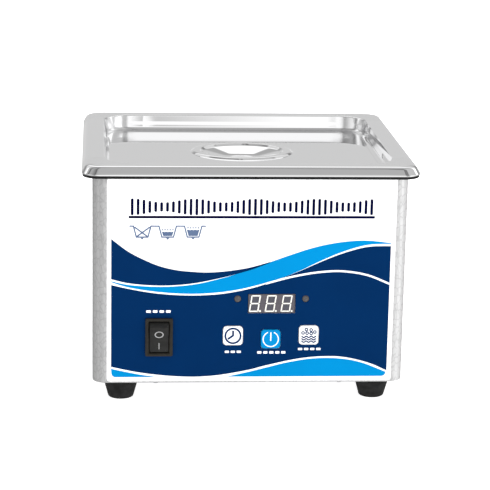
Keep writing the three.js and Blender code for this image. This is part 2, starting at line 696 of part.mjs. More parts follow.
function piezoRing(top) {
  return washer(ringHole, PIEZO_RADIUS, top - PIEZO_THICKNESS, top);
}

// thin ring between the piezo rings, with a tab for its lead
function electrode() {
  const ring = washer(ringHole, PIEZO_RADIUS, electrodeTop - ELECTRODE_THICKNESS, electrodeTop);
  return join(ring, box(8, 5, ELECTRODE_THICKNESS, [-18, 0, electrodeTop - ELECTRODE_THICKNESS / 2]));
}

function stackBolt() {
  const headTop = backMassLow - FIT;
  const headLow = headTop - BOLT_HEAD;
  const end = frontMassLow + BOLT_DEPTH;
  const head = [[0, headLow], [8, headLow], [8, headTop], [BOLT_RADIUS, headTop]];
  return turned([...head, [BOLT_RADIUS, end], [0, end]]);
}

place('transducer_front_mass', frontMass(), ALUMINIUM);
place('piezo_ring_upper', piezoRing(upperRingTop), CERAMIC);
place('electrode', electrode(), COPPER);
place('piezo_ring_lower', piezoRing(lowerRingTop), CERAMIC);
place('transducer_back_mass', washer(boltHole, PIEZO_RADIUS + 0.5, backMassLow, backMassTop), PLAIN_STEEL);
place('transducer_bolt', stackBolt(), PLAIN_STEEL);

// ---------------------------------------------------------------- internal leads
function mainsLead() {
  const fromInlet = [[48, INLET_BACK - 8, 32], [49, 40, 27], [52, 20, 17.6], [50, -20, 16.1]];
  const alongFront = [[34, -48, 16.1], [0, -55, 16.1], [-22, -56, 17.1], [-33, -52, 23]];
  const toSwitch = [[-41, -48, 31.5], [-46, -47.5, 38.2], [-47.3, -50.3, 40.9]];
  return lead([...fromInlet, ...alongFront, ...toSwitch], 1.8, 40);
}

function transducerLead() {
  return lead([[-31.5, -3, 22], [-28.5, -2, 25], [-26, -1, 30.4], [-23, 0, 33.6]], 1.2, 14);
}

function signalLead() {
  const fromBoard = [2, BOARD_FACE + 3.1, 31.5];
  return lead([fromBoard, [-8, -56, 32.5], [-20, -47, 32], [-30, -42.5, 27.8], [-38, -42.3, 22.1]], 1.5, 20);
}

place('mains_lead', mainsLead(), BLACK_PLASTIC);
place('transducer_lead', transducerLead(), COPPER);
place('signal_lead', signalLead(), BLACK_PLASTIC);

export default cleaner;
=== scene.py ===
"""Looks for a bench-top ultrasonic cleaner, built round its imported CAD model.

Lengths are written in millimetres and turned into metres where a mesh is made.
+Z is up, +X to the right, and the front panel faces -Y.
"""
import json
import math
from contextlib import contextmanager

import bmesh
import bpy
from mathutils import Matrix, Vector


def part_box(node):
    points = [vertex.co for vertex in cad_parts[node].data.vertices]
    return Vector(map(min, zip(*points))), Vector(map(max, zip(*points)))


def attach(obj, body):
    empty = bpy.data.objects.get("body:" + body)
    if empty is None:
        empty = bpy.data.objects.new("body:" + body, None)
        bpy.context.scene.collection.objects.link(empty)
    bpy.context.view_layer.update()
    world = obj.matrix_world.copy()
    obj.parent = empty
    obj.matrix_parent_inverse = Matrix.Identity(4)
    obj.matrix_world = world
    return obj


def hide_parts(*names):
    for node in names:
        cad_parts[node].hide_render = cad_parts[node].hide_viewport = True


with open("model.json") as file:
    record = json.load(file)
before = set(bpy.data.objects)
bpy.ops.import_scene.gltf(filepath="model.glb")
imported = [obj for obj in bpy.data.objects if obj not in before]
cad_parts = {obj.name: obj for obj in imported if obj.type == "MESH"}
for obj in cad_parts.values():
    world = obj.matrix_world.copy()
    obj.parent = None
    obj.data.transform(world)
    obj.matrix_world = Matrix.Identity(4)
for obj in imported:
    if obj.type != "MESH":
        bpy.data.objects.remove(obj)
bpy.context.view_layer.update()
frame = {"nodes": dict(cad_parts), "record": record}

MM = 0.001
DEGREES = 180 / math.pi
scene = bpy.context.scene


def span(node):
    """The lowest corner, the highest corner and the middle of a CAD node, in millimetres."""
    low, high = (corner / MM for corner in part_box(node))
    return low, high, (low + high) / 2


def middle(node):
    return span(node)[2]


# ---- sizes taken from the frame
lid_low, lid_high, _ = span("lid")
LID_WIDTH = lid_high.x - lid_low.x
LID_DEPTH = lid_high.y - lid_low.y
LID_TOP = lid_high.z
casing_low, casing_high, _ = span("casing_wrap")
FRONT, REAR = casing_low.y, casing_high.y
tank_low, tank_high, _ = span("tank")
overlay_low, overlay_high, _ = span("front_overlay")
FILM_FACE = overlay_low.y
PRINT_THICKNESS = 0.06


# ---- materials
def set_node(tree, node, *values, **named):
    """Fills a shader node in: its settings by lower-case names, its inputs by order or capital names.

    An input takes a value or, as a link, the output of another node.
    """
    inputs = list(zip(node.inputs, values))
    for name, value in named.items():
        if name[0].islower():
            setattr(node, name, value)
        else:
            inputs.append((node.inputs[name.replace("_", " ")], value))
    for socket, value in inputs:
        if isinstance(value, bpy.types.NodeSocket):
            tree.links.new(value, socket)
        else:
            socket.default_value = value
    return node


def add_node(tree, kind, *values, **named):
    return set_node(tree, tree.nodes.new("ShaderNode" + kind), *values, **named)


def maths(tree, operation, *values):
    return add_node(tree, "Math", *values, operation=operation).outputs[0]


def ramp(tree, source, low, high, start, stop, interpolation_type="LINEAR"):
    """Goes from low to high while the source goes from start to stop."""
    node = add_node(tree, "MapRange", interpolation_type=interpolation_type, Value=source,
                    From_Min=start, From_Max=stop, To_Min=low, To_Max=high)
    return node.outputs["Result"]


class Paint:
    """A principled material with short ways to add noise-driven detail."""

    def __init__(self, name, colour, roughness, metallic=0.0, shine=0.5):
        self.material = bpy.data.materials.new(name)
        self.material.use_nodes = True
        self.tree = self.material.node_tree
        self.shader = self.tree.nodes["Principled BSDF"]
        self.colour = (*colour, 1.0)
        self.set(Base_Color=self.colour, Roughness=roughness, Metallic=metallic, Specular_IOR_Level=shine)
        self.coordinates = self.add("TexCoord").outputs["Object"]
        self.normal = None

    def set(self, **sockets):
        set_node(self.tree, self.shader, **sockets)

    def add(self, kind, *values, **named):
        return add_node(self.tree, kind, *values, **named)

    def placed(self, stretch=(1, 1, 1)):
        return self.add("Mapping", Vector=self.coordinates, Scale=stretch).outputs["Vector"]

    def noise(self, size_mm, detail=2.0, stretch=(1, 1, 1)):
        node = self.add("TexNoise", Vector=self.placed(stretch), Scale=1.0 / (size_mm * MM), Detail=detail)
        return node.outputs["Fac"]

    def cells(self, size_mm, height_mm):
        """Distance to the nearest edge of upright cells, uneven as in rolled sheet."""
        node = self.add("TexVoronoi", feature="DISTANCE_TO_EDGE", Scale=1.0 / (size_mm * MM),
                        Randomness=0.75, Vector=self.placed((1, 1, size_mm / height_mm)))
        return node.outputs["Distance"]

    def place(self, axis):
        """The object's own coordinate on an axis, in metres."""
        return self.add("SeparateXYZ", self.coordinates).outputs[axis]

    def maths(self, operation, *sources):
        return maths(self.tree, operation, *sources)

    def ramp(self, source, low, high, start=0.3, stop=0.7):
        return ramp(self.tree, source, low, high, start, stop, "SMOOTHSTEP")

    def mix(self, factor, colour, other, blend_type="MIX"):
        node = self.add("Mix", data_type="RGBA", blend_type=blend_type, Factor=factor, A=colour, B=other)
        self.set(Base_Color=node.outputs["Result"])

    def vary_colour(self, source, other, start=0.3, stop=0.7):
        self.mix(self.ramp(source, 0.0, 1.0, start, stop), self.colour, (*other, 1.0))

    def darken(self, source, share, stop=0.07):
        """Darkens the base colour where the source is close to zero."""
        base = self.shader.inputs["Base Color"].links[0].from_socket
        self.mix(self.ramp(source, 1.0, 0.0, 0.0, stop), base, (share, share, share, 1.0), "MULTIPLY")

    def vary_roughness(self, source, low, high, start=0.3, stop=0.7):
        self.set(Roughness=self.ramp(source, low, high, start, stop))

    def bump(self, source, height_mm, strength=1.0):
        node = self.add("Bump", Strength=strength, Distance=height_mm * MM, Height=source)
        if self.normal is not None:
            set_node(self.tree, node, Normal=self.normal)
        self.normal = node.outputs["Normal"]
        self.set(Normal=self.normal)


def mirror_steel():
    """A mirror polish, duller in the corners of the lid's pan."""
    paint = Paint("mirror_steel", (0.86, 0.86, 0.865), 0.04, 1.0)
    off_x, off_y = (paint.maths("ABSOLUTE", paint.place(axis)) for axis in "XY")
    corner = paint.maths("MULTIPLY", paint.ramp(off_x, 0, 1, 0.052, 0.064),
                         paint.ramp(off_y, 0, 1, 0.046, 0.058))
    pan_corner = paint.maths("MULTIPLY", corner, paint.ramp(off_y, 1, 0, 0.073, 0.0745))
    smudge = paint.ramp(paint.noise(18, 3), 0.0, 0.16)
    paint.vary_roughness(paint.maths("MAXIMUM", pan_corner, smudge), 0.025, 0.2, 0, 1)
    paint.bump(paint.noise(45, 1), 0.02, 0.3)
    paint.bump(paint.noise(0.6, 2, (1, 14, 1)), 0.0004, 0.4)
    return paint.material


def drawn_steel():
    paint = Paint("drawn_steel", (0.78, 0.78, 0.79), 0.2, 1.0)
    paint.vary_roughness(paint.noise(9, 3, (1, 1, 0.25)), 0.14, 0.26)
    paint.bump(paint.noise(1.2, 2, (1, 1, 0.06)), 0.006, 0.5)
    return paint.material


def embossed_steel():
    """Mottled, with painted light that makes it brighter towards the right and painted shade along the edges
    of its pressed cells.
    """
    paint = Paint("embossed_steel", (0.7, 0.7, 0.7), 0.5, 1.0)
    paint.vary_roughness(paint.noise(3, 3), 0.44, 0.6)
    # painted light: the right side is made brighter, as if more light fell on it
    paint.vary_colour(paint.place("X"), (0.88, 0.88, 0.88), -0.08, 0.08)
    paint.darken(paint.noise(0.7, 4), 0.72, 0.42)
    # painted shade: darker along the creases between the pressed cells
    paint.darken(paint.cells(1.9, 4.15), 0.86, 0.12)
    paint.bump(paint.noise(1.0, 3), 0.05, 0.5)
    return paint.material


def plain_steel():
    paint = Paint("plain_steel", (0.7, 0.7, 0.71), 0.36, 1.0)
    paint.vary_roughness(paint.noise(6, 4), 0.28, 0.46)
    paint.vary_colour(paint.noise(14, 3), (0.6, 0.61, 0.63))
    paint.bump(paint.noise(0.5, 2), 0.004, 0.5)
    return paint.material


def ink(name, colour, other, roughness=0.55, shine=0.02, size_mm=26):
    paint = Paint(name, colour, roughness, shine=shine)
    paint.vary_colour(paint.noise(size_mm, 2), other)
    paint.bump(paint.noise(0.35, 2), 0.0015, 0.5)
    return paint.material


def grained_plastic(name, colour, other, roughness=0.42, shine=0.15):
    paint = Paint(name, colour, roughness, shine=shine)
    paint.vary_colour(paint.noise(2.2, 3), other)
    paint.vary_roughness(paint.noise(1.1, 2), roughness - 0.07, roughness + 0.08)
    paint.bump(paint.noise(0.28, 2), 0.012, 0.6)
    return paint.material


def rubber():
    paint = Paint("rubber", (0.0065, 0.0065, 0.0065), 0.62, shine=0.14)
    paint.vary_colour(paint.noise(3.5, 3), (0.015, 0.015, 0.0155))
    paint.vary_roughness(paint.noise(2.0, 3), 0.5, 0.72)
    paint.bump(paint.noise(0.4, 3), 0.02, 0.5)
    return paint.material


def metal(name, colour, other, roughness, grain=(1, 1, 1)):
    paint = Paint(name, colour, roughness, 1.0)
    paint.vary_colour(paint.noise(5, 3), other)
    paint.vary_roughness(paint.noise(2, 3, grain), roughness - 0.08, roughness + 0.1)
    paint.bump(paint.noise(0.5, 2, grain), 0.006, 0.5)
    return paint.material


def mottled(name, colour, other, roughness, size_mm=1.5, shine=0.4):
    paint = Paint(name, colour, roughness, shine=shine)
    paint.vary_colour(paint.noise(size_mm, 4), other)
    paint.bump(paint.noise(size_mm / 3, 3), 0.02, 0.5)
    return paint.material


NAVY = ink("navy_ink", (0.0, 0.0185, 0.079), (0.0, 0.0175, 0.075))
CYAN = ink("cyan_ink", (0.0002, 0.212, 0.49), (0.0002, 0.204, 0.475))
TITLE_INK = ink("title_ink", (0.0015, 0.0015, 0.02), (0.002, 0.002, 0.026))
SLATE = ink("slate_ink", (0.095, 0.135, 0.225), (0.08, 0.115, 0.2))
WHITE_INK = ink("white_ink", (0.88, 0.89, 0.91), (0.84, 0.85, 0.88))
GREY_INK = ink("grey_ink", (0.3, 0.3, 0.3), (0.25, 0.25, 0.25))
DARK_CELL = mottled("dark_cell", (0.058, 0.058, 0.072), (0.072, 0.072, 0.086), 0.35, 0.8, 0.15)
LAMP = mottled("lamp_lens", (0.068, 0.063, 0.064), (0.085, 0.078, 0.078), 0.3, 0.9, 0.12)
SEGMENT = ink("segment", (0.78, 0.77, 0.72), (0.7, 0.69, 0.64))

RECORD_SLOTS = {part["node"]: part["material_slot"] for part in frame["record"]["subparts"]}
SLOT_LOOKS = {
    "mirror_steel": mirror_steel(),
    "embossed_steel": embossed_steel(),
    "plain_steel": plain_steel(),
    "printed_film": ink("printed_film", (0.93, 0.93, 0.93), (0.91, 0.915, 0.925), 0.4, 0.3, 30),
    "black_rubber": rubber(),
    "black_plastic": grained_plastic("black_plastic", (0.015, 0.015, 0.0145),
                                     (0.02, 0.02, 0.019), 0.42, 0.12),
    "white_key": grained_plastic("white_key", (0.92, 0.92, 0.92), (0.89, 0.89, 0.9), 0.4, 0.2),
    "cyan_key": grained_plastic("cyan_key", (0.0002, 0.212, 0.49), (0.0002, 0.202, 0.47), 0.45, 0.04),
    "smoked_plastic": mottled("smoked_plastic", (0.078, 0.071, 0.082),
                              (0.094, 0.085, 0.096), 0.3, 0.9, 0.15),
    "aluminium": metal("aluminium", (0.72, 0.73, 0.74), (0.64, 0.65, 0.66), 0.36, (1, 1, 8)),
    "brass": metal("brass", (0.66, 0.56, 0.33), (0.56, 0.47, 0.28), 0.3),
    "copper": metal("copper", (0.62, 0.28, 0.14), (0.5, 0.2, 0.09), 0.34),
    "board_green": mottled("board_green", (0.012, 0.13, 0.05), (0.02, 0.17, 0.07), 0.35, 4.0),
    "piezo": mottled("piezo_ceramic", (0.38, 0.35, 0.3), (0.46, 0.43, 0.38), 0.5),
    "ferrite": mottled("ferrite", (0.028, 0.028, 0.031), (0.05, 0.05, 0.055), 0.6),
    "blue_sleeve": mottled("blue_sleeve", (0.012, 0.045, 0.2), (0.015, 0.055, 0.24), 0.3),
    "yellow_tape": mottled("yellow_tape", (0.72, 0.5, 0.07), (0.62, 0.42, 0.05), 0.4),
    "red_film": mottled("red_dip", (0.42, 0.05, 0.03), (0.36, 0.04, 0.025), 0.22),
    "lead_sleeve": mottled("lead_sleeve", (0.03, 0.03, 0.033), (0.045, 0.045, 0.05), 0.5),
}
OWN_LOOKS = {
    "tank": drawn_steel(),
    "switch_housing": grained_plastic("bezel_plastic", (0.017, 0.0155, 0.013),
                                      (0.022, 0.0205, 0.017), 0.4, 0.13),
    "led_left": LAMP,
    "led_right": LAMP,
}


def look_of(node):
    return OWN_LOOKS.get(node) or SLOT_LOOKS[RECORD_SLOTS[node]]


def dress_cad_nodes():
    for name, node in frame["nodes"].items():
        node.data.materials.clear()
        node.data.materials.append(look_of(name))


# ---- mesh helpers
def add_object(name, data):
    made = bpy.data.objects.new(name, data)
    scene.collection.objects.link(made)
    return made


@contextmanager
def edited(mesh):
    """A mesh opened for editing, and written back afterwards."""
    shape = bmesh.new()
    shape.from_mesh(mesh)
    yield shape
    shape.to_mesh(mesh)
    shape.free()


def finish_piece(mesh, material, stands_for=(), body="chassis", crease=35):
    """Makes a mesh into a piece of its own name that rides on a body."""
    mesh.shade_smooth()
    mesh.set_sharp_from_angle(angle=math.radians(crease))
    mesh.materials.clear()
    mesh.materials.append(material)
    piece = add_object(mesh.name, mesh)
    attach(piece, body)
    if stands_for:
        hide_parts(*stands_for)
    return piece


def stand_in(mesh, node, body="chassis", crease=35):
    """A piece with the look of the one CAD node that it stands for."""
    return finish_piece(mesh, look_of(node), [node], body, crease)


def cleaned(mesh):
    """Welds coincident points, drops slivers and turns every face outwards."""
    with edited(mesh) as shape:
        bmesh.ops.remove_doubles(shape, verts=shape.verts, dist=1e-7)
        bmesh.ops.dissolve_degenerate(shape, edges=shape.edges, dist=1e-8)
        bmesh.ops.recalc_face_normals(shape, faces=shape.faces)
    return mesh


def mesh_of(name, points, faces):
    mesh = bpy.data.meshes.new(name)
    mesh.from_pydata([Vector(p) * MM for p in points], [], faces)
    return cleaned(mesh)


def joined(name, meshes):
    """One mesh from several, which are used up."""
    shape = bmesh.new()
    for mesh in meshes:
        shape.from_mesh(mesh)
        bpy.data.meshes.remove(mesh)
    whole = bpy.data.meshes.new(name)
    shape.to_mesh(whole)
    shape.free()
    return whole


def filleted(corners, steps=6):
    """A line through (u, v, radius) corners, each corner with a radius turned into an arc."""
    line = []
    for i, (u, v, radius) in enumerate(corners):
        here = Vector((u, v))
        if radius <= 0 or i in (0, len(corners) - 1):
            line.append((u, v))
            continue
        before = (Vector(corners[i - 1][:2]) - here).normalized()
        after = (Vector(corners[i + 1][:2]) - here).normalized()
        half = before.angle(after) / 2
        reach = radius / math.tan(half)
        centre = here + (before + after).normalized() * radius / math.sin(half)
        start = here + before * reach - centre
        stop = here + after * reach - centre
        first = DEGREES * math.atan2(start.y, start.x)
        turn = DEGREES * math.atan2(start.cross(stop), start.dot(stop))
        line += arc(*centre, radius, first, first + turn, steps)
    return line


def rectangle_ring(width, depth, radius, corner_steps=12, side_steps=24):
    """Points round a rounded rectangle, evenly spread in direction along its sides."""
    x, y = width / 2 - radius, depth / 2 - radius
    corners = [arc(cx, cy, radius, 90 * i, 90 * (i + 1), corner_steps)
               for i, (cx, cy) in enumerate(((x, y), (-x, y), (-x, -y), (x, -y)))]
    ring = []
    for i, corner in enumerate(corners):
        x, y = corner[-1]
        next_x, next_y = corners[(i + 1) % 4][0]
        first = math.atan2(y, x)
        sweep = (math.atan2(next_y, next_x) - first) % (2 * math.pi)
        slopes = [math.tan(first + sweep * step / side_steps) for step in range(1, side_steps)]
        ring += corner
        ring += [(x, x * slope) if i % 2 else (y / slope, y) for slope in slopes]
    return ring


def skin(name, rings, top=None, bottom=None, flat_ends=False):
    """A mesh over rings of equal length, closed with top and bottom middle points or with flat ends."""
    count = len(rings[0])
    points = [p for ring in rings for p in ring]
    faces = []
    for r in range(len(rings) - 1):
        for i in range(count):
            j = (i + 1) % count
            a, b = r * count, (r + 1) * count
            faces.append((a + i, b + i, b + j, a + j))
    for middle_point, first in ((top, 0), (bottom, (len(rings) - 1) * count)):
        if middle_point is not None:
            points.append(middle_point)
            hub = len(points) - 1
            faces += [(hub, first + i, first + (i + 1) % count) for i in range(count)]
    if flat_ends:
        faces += [tuple(range(count)), tuple(range(len(points) - count, len(points)))]
    return mesh_of(name, points, faces)


def lathe(name, profile, at=(0, 0, 0), axis="Z", segments=48):
    """A profile of (radius, height) points, turned about an upright axis or one along Y."""
    turns = [2 * math.pi * i / segments for i in range(segments)]
    rings = []
    for radius, height in profile:
        circle = [(radius * math.cos(turn), radius * math.sin(turn)) for turn in turns]
        ring = [(u, v, height) if axis == "Z" else (u, height, -v) for u, v in circle]
        rings.append([tuple(a + b for a, b in zip(point, at)) for point in ring])
    return skin(name, rings)


def smooth_line(points, steps=10):
    """A Catmull-Rom line through given points."""
    line = []
    for i in range(len(points) - 1):
        p0 = Vector(points[max(i - 1, 0)])
        p1, p2 = Vector(points[i]), Vector(points[i + 1])
        p3 = Vector(points[min(i + 2, len(points) - 1)])
        for step in range(steps):
            t = step / steps
            line.append(tuple(0.5 * (2 * p1 + (p2 - p0) * t + (2 * p0 - 5 * p1 + 4 * p2 - p3) * t * t
                                     + (3 * p1 - p0 - 3 * p2 + p3) * t ** 3)))
    line.append(tuple(points[-1]))
    return line


def arc(cx, cz, radius, start, stop, steps=24):
    """Points on an arc, angles in degrees."""
    return [(cx + radius * math.cos(math.radians(start + (stop - start) * i / steps)),
             cz + radius * math.sin(math.radians(start + (stop - start) * i / steps)))
            for i in range(steps + 1)]


def rounded_loop(cx, cz, width, height, radius, steps=8):
    x, z = width / 2 - radius, height / 2 - radius
    loop = []
    for i, (dx, dz) in enumerate(((x, z), (-x, z), (-x, -z), (x, -z))):
        loop += arc(cx + dx, cz + dz, radius, 90 * i, 90 * (i + 1), steps)
    return loop


def stroke(line, width):
    """The outline of a line drawn with a pen of that width, with square ends."""
    left, right = [], []
    for i, point in enumerate(line):
        here = Vector(point)
        before = Vector(line[max(i - 1, 0)])
        after = Vector(line[min(i + 1, len(line) - 1)])
        into, out = here - before, after - here
        if into.length < 1e-9:
            into = out
        if out.length < 1e-9:
            out = into
        along = (into.normalized() + out.normalized()).normalized()
        side = Vector((-along.y, along.x)) * width / 2
        side /= max(0.5, math.cos(into.angle(out) / 2))
        left.append(tuple(here + side))
        right.append(tuple(here - side))
    return left + right[::-1]


def ring_loops(cx, cz, outer, inner, steps=48):
    return [arc(cx, cz, outer, 0, 360, steps)[:-1], arc(cx, cz, inner, 0, 360, steps)[:-1]]


def flat_mesh(name, loops, back_y, thickness):
    """Closed loops of (x, z) filled by the even-odd rule, made solid forwards from back_y."""
    curve = bpy.data.curves.new(name, "CURVE")
    curve.dimensions = "2D"
    curve.fill_mode = "BOTH"
    curve.extrude = thickness / 2 * MM
    for loop in loops:
        line = curve.splines.new("POLY")
        line.points.add(len(loop) - 1)
        for point, (x, z) in zip(line.points, loop):
            point.co = (x * MM, z * MM, 0, 1)
        line.use_cyclic_u = True
    holder = add_object(name + "_outline", curve)
    bpy.context.view_layer.update()
    mesh = bpy.data.meshes.new_from_object(holder)
    bpy.data.objects.remove(holder)
    bpy.data.curves.remove(curve)
    upright = Matrix.Rotation(math.pi / 2, 4, "X")
    mesh.transform(Matrix.Translation((0, (back_y - thickness / 2) * MM, 0)) @ upright)
    mesh.name = name
    return cleaned(mesh)


def printed(name, loops, material, level=0):
    """A thin layer of ink on the front film; a higher level lies on top of a lower one."""
    mesh = flat_mesh(name, loops, FILM_FACE - level * PRINT_THICKNESS, PRINT_THICKNESS)
    finish_piece(mesh, material)


def modify(piece, kind, crease=None, **settings):
    """Applies one modifier to a piece's mesh."""
    modifier = piece.modifiers.new(kind, kind)
    for name, value in settings.items():
        setattr(modifier, name, value)
    bpy.context.view_layer.update()
    graph = bpy.context.evaluated_depsgraph_get()
    mesh = bpy.data.meshes.new_from_object(piece.evaluated_get(graph))
    piece.modifiers.clear()
    old = piece.data
    piece.data = mesh
    bpy.data.meshes.remove(old)
    if crease is not None:
        mesh.set_sharp_from_angle(angle=math.radians(crease))


def thicken(piece, thickness_mm):
    """Gives an open sheet its thickness, below its highest face or inside its walls."""
    with edited(piece.data) as shape:
        highest = max(shape.faces, key=lambda face: face.calc_center_median().z)
        outwards = highest.calc_center_median().copy()
        outwards.z = 0
        if highest.normal.dot(outwards.normalized() * 0.5 + Vector((0, 0, 1))) < 0:
            bmesh.ops.reverse_faces(shape, faces=shape.faces)
    modify(piece, "SOLIDIFY", thickness=thickness_mm * MM, offset=-1.0, use_quality_normals=True)


def combine(piece, mesh, operation, crease=35):
    """Cuts a closed mesh out of a piece, or adds it, and uses the mesh up."""
    tool = add_object(piece.name + "_tool", mesh)
    modify(piece, "BOOLEAN", crease, operation=operation, solver="MANIFOLD", object=tool)
    bpy.data.objects.remove(tool)
    bpy.data.meshes.remove(mesh)


def eased_copy(node, width_mm, crease=40):
    """Stands for a CAD node with the same shape, its sharp edges rounded off."""
    mesh = frame["nodes"][node].data.copy()
    mesh.name = node + "_eased"
    limit = math.radians(crease)
    with edited(mesh) as shape:
        bmesh.ops.remove_doubles(shape, verts=shape.verts, dist=1e-7)
        bmesh.ops.dissolve_limit(shape, angle_limit=math.radians(0.5), verts=shape.verts, edges=shape.edges)
    piece = stand_in(mesh, node, crease=crease)
    modify(piece, "BEVEL", crease, width=width_mm * MM, segments=2, limit_method="ANGLE", angle_limit=limit)


# ---- lid, edging and tank
PAN_DEPTH = 8.2
PAN_MOUTH = 11.77                      # how far in from the hem the pan's wall would meet the rim
GRIP_REACH = 34.0                      # how far out the rings round the grip go
GRIP_HOLLOW = 3.2                      # how far the grip's middle lies below the pan's floor
GRIP_WIDTH, GRIP_DEPTH = 1.04, 0.86    # shares of its radius, as it is wider than it is deep
GRIP_BACK = 2.2                        # how far behind the middle it lies
SHEET = 0.8


def lid_corner(inset):
    """The lid's corner radius at a distance in from its outer edge."""
    if inset < 2.8:
        return 9.0 - 0.5 * inset
    if inset < PAN_MOUTH:
        return 7.6 + (16.4 - 7.6) * (inset - 2.8) / (PAN_MOUTH - 2.8)
    return max(9.5, 16.4 - (inset - PAN_MOUTH) * 1.25)


def lid_edge(floor):
    """From the hem up over the rim and down into the pan, as (inset, height)."""
    return filleted([(0.0, LID_TOP - 4.75, 0), (0.0, LID_TOP - 4.15, 0.4), (2.35, LID_TOP, 3.0),
                     (6.0, LID_TOP, 0), (PAN_MOUTH, LID_TOP, 0.8), (PAN_MOUTH + 0.92, LID_TOP - 3.6, 2.5),
                     (PAN_MOUTH + 1.75, floor, 2.4), (PAN_MOUTH + 9, floor, 0)], 7)


def lid_grip(floor, bottom):
    """From the grip's hollow out over its rim to the pan's floor, as (radius, height)."""
    return filleted([(0.0, bottom, 0), (8.0, bottom + 0.2, 24), (20.6, floor - 0.2, 2.4),
                     (22.2, floor + 1.0, 0.9), (25.9, floor + 1.0, 2.0), (27.3, floor, 0.3),
                     (27.8, floor, 0), (GRIP_REACH, floor, 0)], 7)[1:]


def lid_shell():
    floor = LID_TOP - PAN_DEPTH
    bottom = floor - GRIP_HOLLOW
    rings = outline_rings([(inset, lid_corner(inset), z) for inset, z in reversed(lid_edge(floor))], 24)
    directions = [Vector((x, y)).normalized() for x, y, _ in rings[0]]
    inner = [[(GRIP_WIDTH * radius * d.x, GRIP_BACK + GRIP_DEPTH * radius * d.y, z) for d in directions]
             for radius, z in lid_grip(floor, bottom)]
    mesh = skin("lid_shell", inner + rings, top=(0, GRIP_BACK, bottom))
    thicken(stand_in(mesh, "lid", "lid", 60), SHEET)


def outline_rings(rows, side_steps=6):
    """Rings for rows of (inset from the lid's outline, corner radius, height)."""
    rings = []
    for inset, radius, z in rows:
        outline = rectangle_ring(LID_WIDTH - 2 * inset, LID_DEPTH - 2 * inset, radius, 12, side_steps)
        rings.append([(x, y, z) for x, y in outline])
    return rings


def rim_edging():
    low, high, _ = span("rim_gasket")
    outer = (LID_WIDTH - (high.x - low.x)) / 2
    web = outer + 1.2
    lip_top = low.z + 0.8
    under = tank_high.z + 0.2
    lip = low.z - 0.25
    section = filleted([(6, low.z, 0), (5.2, low.z, 0.2), (5.0, lip, 0.2), (outer, lip, 0.3),
                        (outer, lip_top + 0.2, 0.3), (web, lip_top + 0.2, 0),
                        (web, high.z, 0.4), (6, high.z, 0.3), (6, under, 0.2), (2.7, under, 0),
                        (2.7, lip_top, 0), (8.3, lip_top, 0.3), (8.3, low.z, 0.3), (6, low.z, 0)], 4)
    rows = [(inset, 8.6 if inset < 3 else 7.5 + (inset - 3) * 1.7, z) for inset, z in section]
    stand_in(skin("rim_edging", outline_rings(rows)), "rim_gasket")


def tank_corner(inset):
    """The tank's corner radius: small at the flange's edge, widest half-way down, smaller at the floor."""
    if inset < 10:
        return 7.0 + (inset - 3.0) * 1.45
    if inset < 14:
        return 17.2 + (inset - 10.0) * 0.9
    return max(6.0, 20.8 - (inset - 14.0) * 0.65)


def tank_shell():
    floor, top = tank_low.z + SHEET, tank_high.z
    line = filleted([(3.0, top, 0), (10.3, top, 1.5), (13.6, floor, 11), (45, floor, 0)], 9)
    rows = [(inset, tank_corner(inset), z) for inset, z in reversed(line)]
    mesh = skin("tank_shell", outline_rings(rows, 12), top=(0, 0, floor))
    thicken(stand_in(mesh, "tank", crease=60), SHEET)


# ---- casing
CASING_CORNER = 7.0
EMBOSS_PITCH = 4.15
EMBOSS_DEPTH = 0.11
SKIN_PITCH = 1.05                      # spacing of the casing's surface points
VENT_COUNT, VENT_PITCH, VENT_WIDTH, VENT_HEIGHT = 7, 8.0, 3.0, 24.0
FIRST_VENT = (-62.0, 35.0)
LIP_Z, LIP_THICKNESS = 11.9, 1.0
LIP_HALF_WIDTH, LIP_HALF_DEPTH = 58, 48
LIP_START = 0.5                        # how far in from the wall's outer face a lip starts
END_LIP_STOP, SIDE_LIP_STOP = 10, 9    # how far in from it the lips stop, front and rear, and at the sides
INLET_OPENING = (27.6, 20.2)


def outline_walk(width, depth, radius, pitch):
    """Evenly spaced (x, y, outward x, outward y, distance along) round a rounded rectangle."""
    x, y = width / 2 - radius, depth / 2 - radius
    bend = radius * math.pi / 2
    bend_steps = max(6, round(bend / pitch))
    walk, travelled = [], 0.0
    for corner, (cx, cy) in enumerate([(x, -y), (x, y), (-x, y), (-x, -y)]):
        side = 2 * (x if corner in (1, 3) else y)
        side_steps = round(side / pitch)
        places = [(step / bend_steps, 0.0) for step in range(bend_steps)]
        places += [(1.0, side * step / side_steps) for step in range(side_steps)]
        for turned, along in places:
            angle = (corner - 1 + turned) * math.pi / 2
            nx, ny = math.cos(angle), math.sin(angle)
            place = (cx + radius * nx - ny * along, cy + radius * ny + nx * along)
            walk.append((*place, nx, ny, travelled + bend * turned + along))
        travelled += bend + side
    return walk


def embossing(along, z):
    """Height of the pressed pattern: soft lozenges in staggered rows, a little uneven."""
    u, v = along * 2 * math.pi / EMBOSS_PITCH, z * 2 * math.pi / EMBOSS_PITCH
    lozenge = math.cos((u + v) / 2) * math.cos((u - v) / 2)
    uneven = math.sin(along * 0.83 + 1.7 * math.sin(z * 0.31)) * math.sin(z * 0.57 + math.sin(along * 0.23))
    return EMBOSS_DEPTH * (0.75 * lozenge + 0.35 * uneven)


def under_film(x, y, z):
    """0 where the printed sheet lies on the front wall, rising to 1 beyond its edge."""
    if y > FRONT + 1:
        return 1.0
    beyond = max(overlay_low.x - x, x - overlay_high.x, overlay_low.z - z, z - overlay_high.z)
    return min(max(beyond / 1.5, 0.0), 1.0)


def near_edge(z):
    """0 at the top and bottom edge of the wall, 1 from two millimetres inside them."""
    return min(max(min(z - casing_low.z, casing_high.z - z) / 2.0, 0.0), 1.0)


